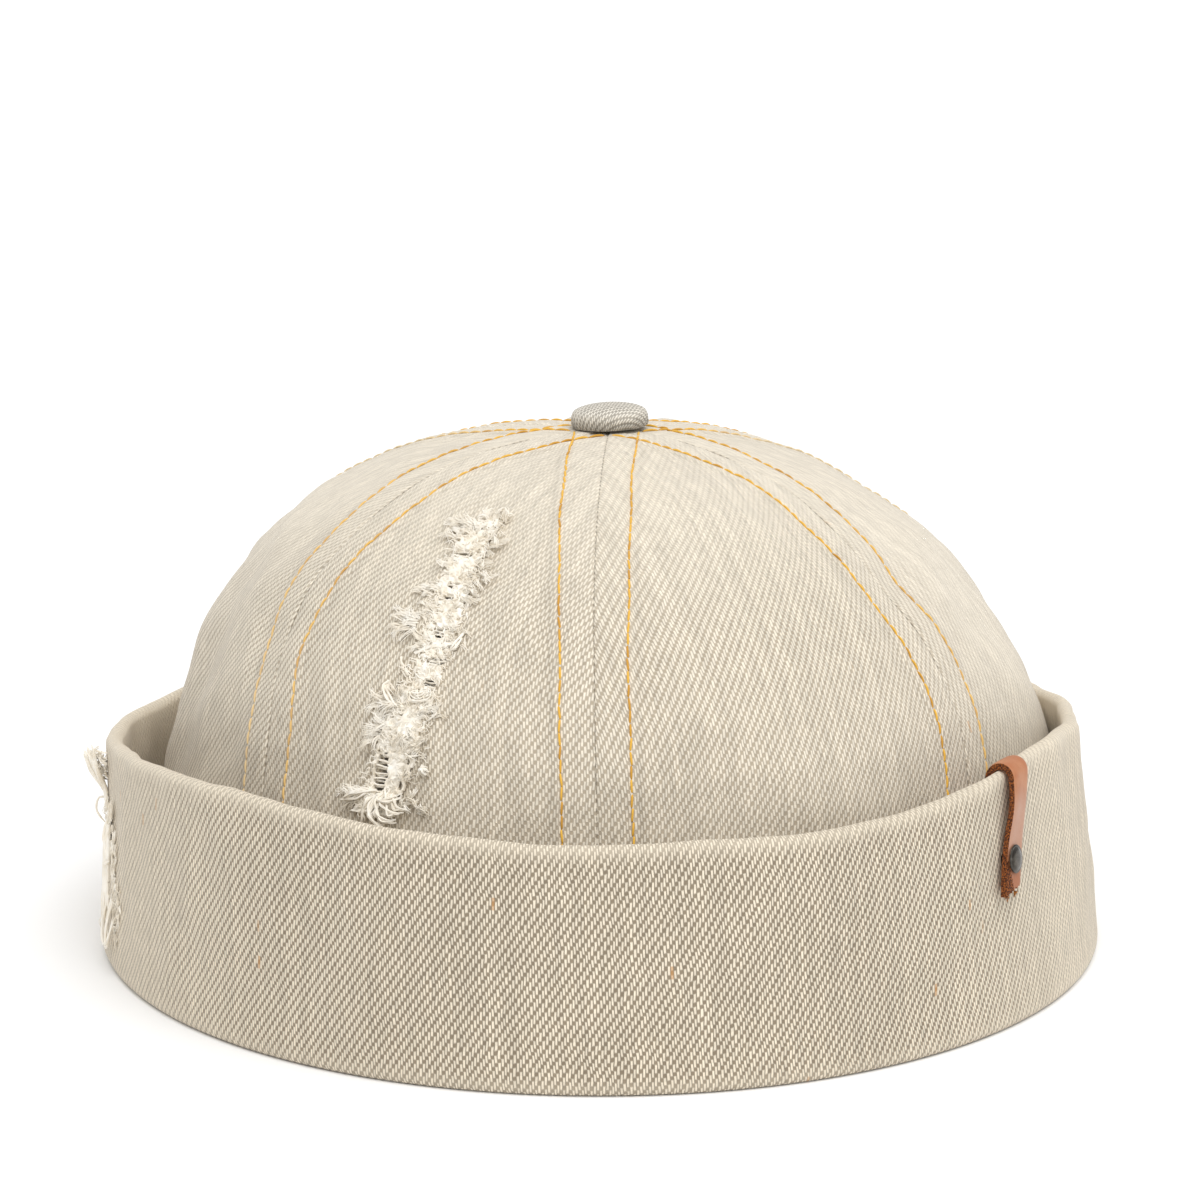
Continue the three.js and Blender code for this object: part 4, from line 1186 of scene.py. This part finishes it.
CROWN_YARNS = (
    (-27.6, 0.240, 0.46, (-2.2, 2.4, 0.4), (-3.2, 0.2, 1.2), (-2.4, -2.0, 1.7),
     (-0.6, -2.7, 1.8), (0.7, -1.9, 1.2)),
    (-27.4, 0.241, 0.44, (-1.3, 2.7, 0.5), (-2.0, 0.8, 1.6), (-1.1, -1.3, 2.1),
     (0.6, -2.4, 2.1), (2.2, -1.8, 1.3)),
    (-27.2, 0.242, 0.42, (-0.5, 2.8, 0.5), (-0.7, 1.0, 1.6), (0.4, -0.6, 2.2),
     (1.8, -1.2, 1.9), (3.0, -0.4, 1.0)),
    (-27.0, 0.243, 0.40, (0.4, 2.6, 0.5), (0.5, 1.2, 1.4), (1.5, 0.2, 1.7), (2.8, 0.3, 1.1)),
    (-27.6, 0.241, 0.34, (-2.8, 1.6, 0.4), (-0.8, 0.9, 2.0), (1.2, 1.3, 1.8), (2.6, 2.3, 0.7)),
    (-30.2, 0.252, 0.44, (0.8, 0.6, 0.4), (-1.6, -0.2, 1.0), (-3.8, -1.1, 1.2), (-5.9, -1.6, 0.8)),
    (-30.2, 0.252, 0.40, (0.9, 1.2, 0.4), (-1.4, 0.5, 1.1), (-3.4, -0.4, 1.3), (-5.2, -1.3, 0.9)),
    (-30.6, 0.250, 0.42, (0.9, 0.4, 0.4), (0.3, -1.0, 1.1), (0.0, -2.6, 1.2), (-0.4, -4.2, 0.7)),
    (-29.6, 0.381, 0.46, (-1.3, 1.2, 0.3), (-1.1, -0.4, 1.1), (0.2, -2.2, 1.4), (1.5, -3.1, 0.7)),
    (-24.5, 0.395, 0.26, (-2.6, -0.4, 0.4), (-3.3, -2.0, 1.1), (-2.0, -3.4, 1.4),
     (0.0, -3.2, 1.3), (1.3, -1.6, 0.6)),
    (-24.5, 0.395, 0.24, (-1.7, -1.0, 0.5), (-2.0, -2.3, 1.1), (-0.9, -2.6, 1.3), (0.3, -1.8, 0.9)),
    (-24.4, 0.445, 0.34, (-4.2, -1.0, 0.3), (-1.7, -0.2, 0.8), (1.0, 0.4, 0.9), (3.4, 1.5, 0.3)),
    (-21.9, 0.458, 0.36, (0.1, 1.6, 0.3), (0.6, 0.4, 1.0), (0.3, -1.0, 1.1), (-0.8, -2.0, 0.5)),
    (-23.0, 0.286, 0.62, (-0.7, 0.3, 0.7), (0.0, 0.2, 1.0), (0.6, -0.2, 0.7)),
    (-25.3, 0.300, 0.28, (-0.9, -0.1, 0.4), (0.0, 0.4, 0.9), (1.0, 0.7, 0.4)),
)


def ladder_rows():
    """Weft yarns left across the tear: far apart and clean at its lower end, close and hidden above."""
    chance = np.random.default_rng(71)
    rows = []
    up = TEAR[1, 1]
    while up < TEAR[-2, 1]:
        middle = np.interp(up, TEAR[:, 1], TEAR[:, 0])
        half = np.interp(up, TEAR[:, 1], TEAR[:, 2]) + chance.uniform(0.9, 1.6)
        tilt, sag = chance.uniform(-0.2, 0.2, 2)
        radius = LADDER_YARN * chance.uniform(0.8, 1.25)
        ends = (-half, -tilt, -0.15), (half, tilt, -0.15)
        hang = (-0.4 * half, sag - 0.2, 0.1), (0.4 * half, sag - 0.2, 0.1)
        rows.append((middle, up, radius, ends[0], *hang, ends[1]))
        ends = (-half, tilt, -0.7), (half, -tilt, -0.7)
        hang = (-0.4 * half, -sag, -BEHIND), (0.4 * half, sag, -BEHIND)
        rows.append((middle, up + 0.004, LADDER_YARN, ends[0], *hang, ends[1]))
        up += (LADDER_PITCH if up < LADDER_TOP else CLOSE_PITCH) / rise_of(middle, up)
    return rows


def crown_tear():
    points, faces = joined([
        lint_bed(),
        lint_fibres(LINT_FIBRES, 80),
        wisps(over_crown, CROWN_TUFTS, 81),
        yarns(over_crown, ladder_rows(), 82, rings=11, sides=6),
        yarns(over_crown, loosened(CROWN_YARNS, 84, PLY_SLACK), 83, sides=5),
    ])
    piece = mesh_piece("crown_fray_threads", points, faces, cotton, sharp=70)
    return settle(piece, "cotton_fluff", "crown_fray")


crown_tear()

# %% The cuff's worn line
CUFF_TUFTS = (
    (-79.6, 36.0, 1.6, 2.6, 110, 2.2, 3.0, 9),
    (-79.6, 33.0, 2.0, 3.0, 100, 3.2, 2.0, 9),
    (-78.5, 28.5, 2.4, 4.0, 265, 2.6, 0.6, 9),
    (-76.0, 23.0, 3.4, 7.0, 268, 3.2, 0.5, 14),
    (-72.5, 24.0, 3.0, 5.0, 280, 2.8, 0.3, 7),
    (-75.5, 14.0, 4.4, 7.0, 268, 3.2, 0.6, 16),
    (-70.6, 15.0, 2.4, 4.0, 262, 2.6, 0.4, 7),
    (-76.5, 7.5, 4.4, 4.0, 262, 2.6, 0.8, 15),
    (-71.5, 20.0, 3.6, 9.0, 266, 2.8, 0.35, 12),
    (-69.0, 14.0, 3.0, 9.0, 262, 2.4, 0.3, 10),
    (-74.0, 28.0, 3.0, 5.0, 272, 2.6, 0.4, 9),
    (-69.5, 9.0, 2.6, 4.0, 262, 2.4, 0.5, 7),
)
TASSEL_YARNS = 22
TASSEL_ROOT = (-79.5, 29.0)
TASSEL_OUT = 3.6
TASSEL_TOP = 8.4
TASSEL_RADIUS = 0.26
BAND_YARNS = 13
BAND_PITCH = 0.56
BAND_ROOT = (-75.5, 28.0)


def tassel_rows():
    """The yarns of the tassel, which leave the cloth together and spread upwards and outwards."""
    chance = np.random.default_rng(94)
    rows = []
    for _ in range(TASSEL_YARNS):
        aside, lift = chance.uniform(-1, 1, 2)
        out = TASSEL_OUT + 0.9 * lift
        top = TASSEL_TOP + 1.1 * chance.uniform(-1, 1) - 0.5 * lift
        radius = TASSEL_RADIUS + 0.1 * chance.uniform()
        low = (0.5 * aside, -1.5, 0.2), (0.7 * aside, 1.4, 0.6 + 0.2 * lift)
        high = (1.2 * aside, 0.55 * top, 0.62 * out), (1.7 * aside, top, out)
        rows.append((*TASSEL_ROOT, radius, *low, *high))
    return rows


def band_rows():
    """Long loosened yarns that hang side by side down the cuff from the tassel's root."""
    chance = np.random.default_rng(95)
    rows = []
    for number in range(BAND_YARNS):
        start = chance.uniform(-3.5, 1.0)
        across = -3.4 + BAND_PITCH * number
        end = -23.5 + chance.uniform(-2.0, 5.0)
        out = 0.25 + 0.5 * math.exp(-((across / 1.8) ** 2)) + chance.uniform(0, 0.2)
        mid = 0.5 * (start + end)
        radius = TASSEL_RADIUS + 0.06 * chance.uniform()
        upper = 0.8 * across + chance.uniform(-0.5, 0.5)
        centre = across + chance.uniform(-0.6, 0.6)
        lower = across + 0.6 + chance.uniform(-0.5, 0.5)
        route = (0.3 * across, start, 0.2), (upper, 0.5 * (start + mid), out), (centre, mid, out)
        tail = (lower, 0.5 * (mid + end), out + 0.1), (across + 1.2, end, 0.25)
        rows.append((*BAND_ROOT, radius, *route, *tail))
    return rows


CUFF_YARNS = (
    (-80.0, 27.5, 0.2, (-0.4, 1.2, 0.3), (-0.5, 0.8, 1.7), (-0.3, -0.9, 2.1),
     (0.2, -2.6, 1.2), (0.5, -3.6, 0.4)),
    (-76.5, 24.0, 0.34, (1.4, 2.6, 0.3), (1.6, 0.0, 1.0), (2.6, -3.0, 0.8), (3.6, -6.4, 0.4)),
    (-73.5, 19.0, 0.28, (-3.2, -0.6, 0.5), (-1.2, 0.0, 0.9), (0.8, 0.8, 0.5)),
    (-71.0, 11.5, 0.26, (-1.2, 2.0, 0.3), (-1.6, -2.0, 1.0), (-1.2, -5.6, 1.3),
     (0.2, -6.6, 1.4), (1.3, -4.6, 1.2), (1.2, -0.6, 0.5)),
    (-70.6, 11.5, 0.26, (-0.6, 2.0, 0.3), (-0.8, -2.0, 1.3), (-0.4, -4.8, 1.6),
     (0.5, -5.4, 1.6), (1.5, -3.8, 1.4), (1.8, -0.4, 0.5)),
    (-73.0, 12.5, 0.28, (-0.6, 1.0, 0.3), (-1.2, -3.0, 1.1), (-1.5, -6.2, 1.3),
     (-0.7, -8.2, 1.1), (0.3, -7.6, 0.8)),
)


def cuff_wear():
    loose = [*tassel_rows(), *band_rows(), *CUFF_YARNS]
    points, faces = joined([wisps(over_cuff, CUFF_TUFTS, 91, 0.085), yarns(over_cuff, loose, 92)])
    piece = mesh_piece("cuff_fray_threads", points, faces, cotton, sharp=70)
    return settle(piece, "cotton_fluff", "cuff_fray")


cuff_wear()

# %% [markdown]
# Button
# The button is a tin cap covered in a scrap of finer cloth, drawn round its edge, so its rim has small
# gathers. It turns round one line, and a turned profile makes it, with the gathers added to its radius.
# Its weave is laid out by the distance along that profile, as a flat scrap pulled over a dome lies.

# %% Make the button
BUTTON_RADIUS = 7.05
BUTTON_HEIGHT = 4.1
BUTTON_TILT = math.radians(2)
BUTTON_SEGMENTS = 120
WASHER_RADIUS = 4.5
SHANK_RADIUS = 1.3
GAP = 0.3


def turned(profile, segments, shape=None):
    """Points and faces of a turned body whose profile of radii and heights starts and ends on its axis."""
    turn = np.arange(segments) * math.tau / segments
    radius, height = profile[1:-1, 0][:, None], profile[1:-1, 1][:, None]
    grown = radius * (shape(turn, height) if shape else 1)
    rings = np.stack([grown * np.cos(turn), grown * np.sin(turn), height + 0 * turn], -1)
    points = np.concatenate([rings.reshape(-1, 3), [(0, 0, profile[0, 1]), (0, 0, profile[-1, 1])]])
    number = np.arange(rings.shape[0] * segments).reshape(-1, segments)
    following = np.roll(number, -1, axis=1)
    start, end = len(points) - 2, len(points) - 1
    bottom = np.stack([following[0], number[0], np.full(segments, start)], -1)
    top = np.stack([number[-1], following[-1], np.full(segments, end)], -1)
    return points, [ring_walls(number), bottom, top]


def smooth_profile(corners, steps):
    """A profile with more points, on a smooth curve through its corners."""
    corners = np.array(corners, float)
    at = np.linspace(0, len(corners) - 1, steps)
    return np.stack([curve_through(corners[:, axis], at, len(corners) - 1) for axis in range(2)], -1)


def gathers(turn, height):
    """Small pleats round the button's edge, deepest under its widest place."""
    edge = np.exp(-(((height - GAP - 0.4) / 0.8) ** 2)) * (height > GAP)
    folds = np.sin(23 * turn + 1.5 * np.sin(3 * turn)) + 0.6 * np.sin(14 * turn + 1)
    return 1 + edge * 0.012 * folds + 0.008 * np.sin(2 * turn + 0.6)


def button_piece():
    under = GAP + 0.15
    washer = -GORE_WALL - 2 * GAP
    inside = [(0, washer - 0.8), (WASHER_RADIUS - 0.1, washer - 0.8), (WASHER_RADIUS, washer - 0.4)]
    inside += [(WASHER_RADIUS - 0.1, washer), (SHANK_RADIUS, washer), (SHANK_RADIUS, under)]
    cover = [(0.19, 0.02), (0.88, 0), (0.98, 0.08), (1, 0.3)]
    cover += [(0.985, 0.52), (0.89, 0.75), (0.55, 0.93), (0, 1)]
    cover = [(r * BUTTON_RADIUS, under + h * BUTTON_HEIGHT) for r, h in cover]
    profile = np.concatenate([inside, smooth_profile(cover, 44)])
    profile[-1, 0] = 0
    points, faces = turned(profile, BUTTON_SEGMENTS, gathers)
    from_top = run_along(profile[::-1])[::-1]
    reach = np.append(np.repeat(from_top[1:-1], BUTTON_SEGMENTS), (0, 0))
    spin = np.arctan2(points[:, 1], points[:, 0])
    grain = np.stack([reach * np.cos(spin + 0.5), reach * np.sin(spin + 0.5), 3 + 0 * spin], -1)
    level, slope = math.cos(BUTTON_TILT), math.sin(BUTTON_TILT)
    tilt = np.array([[level, 0, -slope], [0, 1, 0], [slope, 0, level]])
    edge = np.exp(-(((points[:, 2] - under - 2.6) / 0.6) ** 2)) * (np.hypot(points[:, 0], points[:, 1]) > 5)
    # low darkens the cover towards its lower edge: painted shade.
    low = 1 - smoothstep(under + 0.3, under + 2.4, points[:, 2])
    points = points @ tilt.T + (CROWN_SHIFT, 0, CROWN[-2, 0]) + cap_shift
    wear_and_painted_light = np.stack([0.3 * edge, 0.42 * low, 0.08 + 0 * edge], -1)
    cloth = denim("button_cloth", (0.72, 0.675, 0.59), (0.15, 0.13, 0.1), relief=0.14, fine=1.15)
    piece = mesh_piece("button_cover", points, faces, cloth, {"grain": grain, "wear_and_painted_light": wear_and_painted_light}, sharp=60)
    return settle(piece, "button_cloth", "top_button")


button_piece()

# %% [markdown]
# Leather tab and rivet
# A strip of vegetable-tanned leather is folded over the rim and riveted through the cuff. Its face is
# smooth and scuffed pale, while its cut sides show dark, stringy fibre, so the sides get a finish of their
# own. The strip is a wall between two grids that follow a hairpin line. It stands a little off the cuff
# between the fold and the rivet, and its lower end is torn rather than cut.

# %% Leather
EDGE_DARK = (0.05, 0.012, 0.004)
EDGE_ORANGE = (0.46, 0.135, 0.024)
FACE_DARK = (0.44, 0.165, 0.07)
FACE_TAN = (0.53, 0.245, 0.125)
FACE_SCUFFED = (0.53, 0.32, 0.235)
FACE_HANDLED = (0.36, 0.125, 0.05)
FACE_PORES = (0.34, 0.12, 0.045)
SCUFF_MIDDLE = 11.0


def leather_finish(edge):
    """Tanned leather: the smooth face, or the stringy cut edge."""
    finish, tree, shader = new_finish("tab_edge" if edge else "tab_face", 0.85 if edge else 0.5, 0.35)
    _, _, along, _ = point_values(tree, "grain")
    place = tree.nodes.new("ShaderNodeNewGeometry").outputs["Position"]
    if edge:
        strings = noise_node(tree, place, 4600, 3)
        colour = tint_node(tree, ramp_node(tree, strings, 0.43, 0.68), EDGE_DARK, EDGE_ORANGE)
        raise_surface(tree, shader, strings, 0.35)
    else:
        pores = noise_node(tree, place, 2400, 3)
        patches = noise_node(tree, place, 260, 3)
        colour = tint_node(tree, ramp_node(tree, patches, 0.3, 0.7), FACE_DARK, FACE_TAN)
        scuff = ramp_node(tree, away_node(tree, along, SCUFF_MIDDLE), 2.0, 7.5, 0.8, 0)
        colour = tint_node(tree, scuff, colour, FACE_SCUFFED)
        colour = tint_node(tree, ramp_node(tree, along, 2.5, 7.5, 0.85, 0), colour, FACE_HANDLED)
        colour = tint_node(tree, value_node(tree, "MULTIPLY", pores, 0.3), colour, FACE_PORES)
        raise_surface(tree, shader, pores, 0.06)
    paint(tree, shader, colour)
    return finish


# %% The tab's frame
TAB_WIDTH = 6.7
TAB_THICK = 1.4
TAB_OUTER_LEG = 20.2
TAB_INNER_LEG = 19
TAB_SLANT = math.tan(math.radians(16))
TAB_LIFT = 0.1
TAB_ROOM = 0.3
RIVET_DROP = 14.8
TAB_STAND = 0.7
TAB_BOW = 1.4
TAB_COLUMNS = 15
TORN_ROWS = 8
TORN_COLUMN = 6


def tab_place(points):
    """Points of the tab's own frame (out, up, along the rim to the front) set on the rim."""
    top = cuff_at(TAB_AZIMUTH, rim_height(TAB_AZIMUTH), 0)
    below = cuff_at(TAB_AZIMUTH, rim_height(TAB_AZIMUTH) - 20, 0)
    rimwards = unit(cuff_at(TAB_AZIMUTH + 1, 30, 0) - cuff_at(TAB_AZIMUTH - 1, 30, 0))
    upwards = unit(top - below)
    outwards = unit(np.cross(rimwards, upwards))
    slanted = points - np.stack([0 * points[..., 1], 0 * points[..., 1], TAB_SLANT * points[..., 1]], -1)
    return slanted @ np.stack([outwards, upwards, -rimwards]) + top


def tab_line():
    """The hairpin's middle line and its normals, from the torn end up over the rim and down inside."""
    outer = GAP + TAB_THICK / 2
    inner = TAB_PINCH - CUFF_WALL - TAB_ROOM - TAB_THICK / 2
    radius, middle = (outer - inner) / 2, (outer + inner) / 2
    shoulder = TAB_LIFT - radius + TAB_THICK / 2
    rise = np.linspace(-TAB_OUTER_LEG, shoulder, 70)
    turn = np.linspace(0, math.pi, 34)[1:-1]
    fall = np.linspace(shoulder, -TAB_INNER_LEG, 40)
    x = np.concatenate([outer + 0 * rise, middle + radius * np.cos(turn), inner + 0 * fall])
    y = np.concatenate([rise, shoulder + radius * np.sin(turn), fall])
    line = np.stack([x, y], -1)
    ahead = unit(np.gradient(line, axis=0))
    return line, np.stack([ahead[:, 1], -ahead[:, 0]], -1)


# %% Make the tab
def tab_piece():
    line, out = tab_line()
    length = run_along(line)[:, None]
    across = np.linspace(-0.5, 0.5, TAB_COLUMNS)
    chance = np.random.default_rng(101)
    round_edge = 0.2 * (np.abs(across) / 0.5) ** 6
    lifted = np.exp(-(((length - 14.5) / 5.0) ** 2)) * (0.15 + TAB_STAND * smoothstep(-0.3, 0.5, across))
    torn = np.linspace(1, 0, TORN_ROWS) ** 2
    ragged = np.zeros((len(line), TAB_COLUMNS))
    ragged[:TORN_ROWS] = torn[:, None] * (chance.uniform(-0.35, 0.35, TAB_COLUMNS) - 0.7 * (across - 0.1))
    bow = TAB_BOW * smoothstep(4, 24, length) - 0.4
    z = TAB_WIDTH * across * (1 - 0.12 * (1 - smoothstep(6, 16, length))) * (1 + 0.02 * np.sin(length / 5))

    def face(offset):
        x = line[:, :1] + out[:, :1] * offset + lifted
        y = line[:, 1:] + out[:, 1:] * offset + ragged
        return tab_place(np.stack([x, y, z - bow + 0 * x], -1))

    outer = face(TAB_THICK / 2 - round_edge)
    inner = face(-TAB_THICK / 2 + round_edge)
    walls = [part[:, ::-1] for part in wall_faces(np.ones((len(line) - 1, TAB_COLUMNS - 1), bool))]
    points = both_sides(outer, inner)
    carried = np.stack([z, length + 0 * z, 0 * z], -1).reshape(-1, 3)
    grain = {"grain": np.concatenate([carried, carried])}
    piece = mesh_piece("tab_leather_strip", points, walls, leather_finish(False), grain, sharp=50)
    piece.data.materials.append(leather_finish(True))
    faces_of_skin = len(walls[0]) + len(walls[1])
    for polygon in piece.data.polygons:
        row, column = divmod(polygon.vertices[0], TAB_COLUMNS)
        torn_face = polygon.index < len(walls[0]) and column > TORN_COLUMN + row / 3
        polygon.material_index = int(polygon.index >= faces_of_skin or torn_face)
    return settle(piece, "tab_leather", "tab_strap")


tab_piece()

# %% The rivet and the torn fibres
RIVET_RADIUS = 2.5
RIVET_DOME = 0.5
RIVET_ASIDE = 0.9
POST_RADIUS = 1


def rivet_piece():
    head, cap = 2 * GAP + TAB_THICK, TAB_PINCH - CUFF_WALL - TAB_ROOM - TAB_THICK - GAP
    inside = [(0, cap - 0.6), (2.2, cap - 0.6), (2.3, cap - 0.3), (2.25, cap)]
    post = [(POST_RADIUS, cap), (POST_RADIUS, head), (RIVET_RADIUS - 0.05, head)]
    dome = [(1.0, 0.1), (0.985, 0.3), (0.92, 0.4), (0.84, 0.43), (0.6, 0.78), (0.3, 0.97), (0, 1.0)]
    dome = [(r * RIVET_RADIUS, head + h * RIVET_DOME) for r, h in dome]
    profile = np.concatenate([inside, post, smooth_profile(dome, 26)])
    profile[-1, 0] = 0
    points, faces = turned(profile, 64)
    upright = np.stack([points[:, 2], points[:, 0], points[:, 1]], -1)
    points = tab_place(upright + (0, -RIVET_DROP, RIVET_ASIDE) + TAB_SLANT * upright[:, 1:2] * (0, 0, 1))
    colours = (0.045, 0.039, 0.032), (0.11, 0.098, 0.082)
    edges = 0.35, 0.7
    finish, tree, shader, tarnish = mottled_finish("rivet_gunmetal", (0.2, 0.5), (900, 4), edges, colours)
    shader.inputs["Metallic"].default_value = 1.0
    raise_surface(tree, shader, tarnish, 0.05)
    return settle(mesh_piece("rivet_head", points, faces, finish, sharp=40), "rivet_metal", "tab_rivet")


def over_tab(out, height, across, along, lift):
    """Points near the tab's torn end, in the tab's own frame."""
    return tab_place(np.stack(np.broadcast_arrays(out + lift, height + along, across), -1))


def tab_fibres():
    ends = (
        (0.9, 0.2 - TAB_OUTER_LEG, 5.4, 0.8, 262, 1.5, 0.3, 4),
        (1.0, -0.3 - TAB_OUTER_LEG, 4.0, 0.6, 280, 1.2, 0.3, 3),
    )
    points, faces = wisps(over_tab, ends, 111, 0.05)
    colours = (0.16, 0.05, 0.015), (0.60, 0.24, 0.05)
    finish, *_ = mottled_finish("tab_fibre", (0.8, 0.3), (3000, 1), (0.4, 0.6), colours)
    return settle(mesh_piece("tab_fibre_ends", points, faces, finish), "tab_leather")


rivet_piece()
tab_fibres()
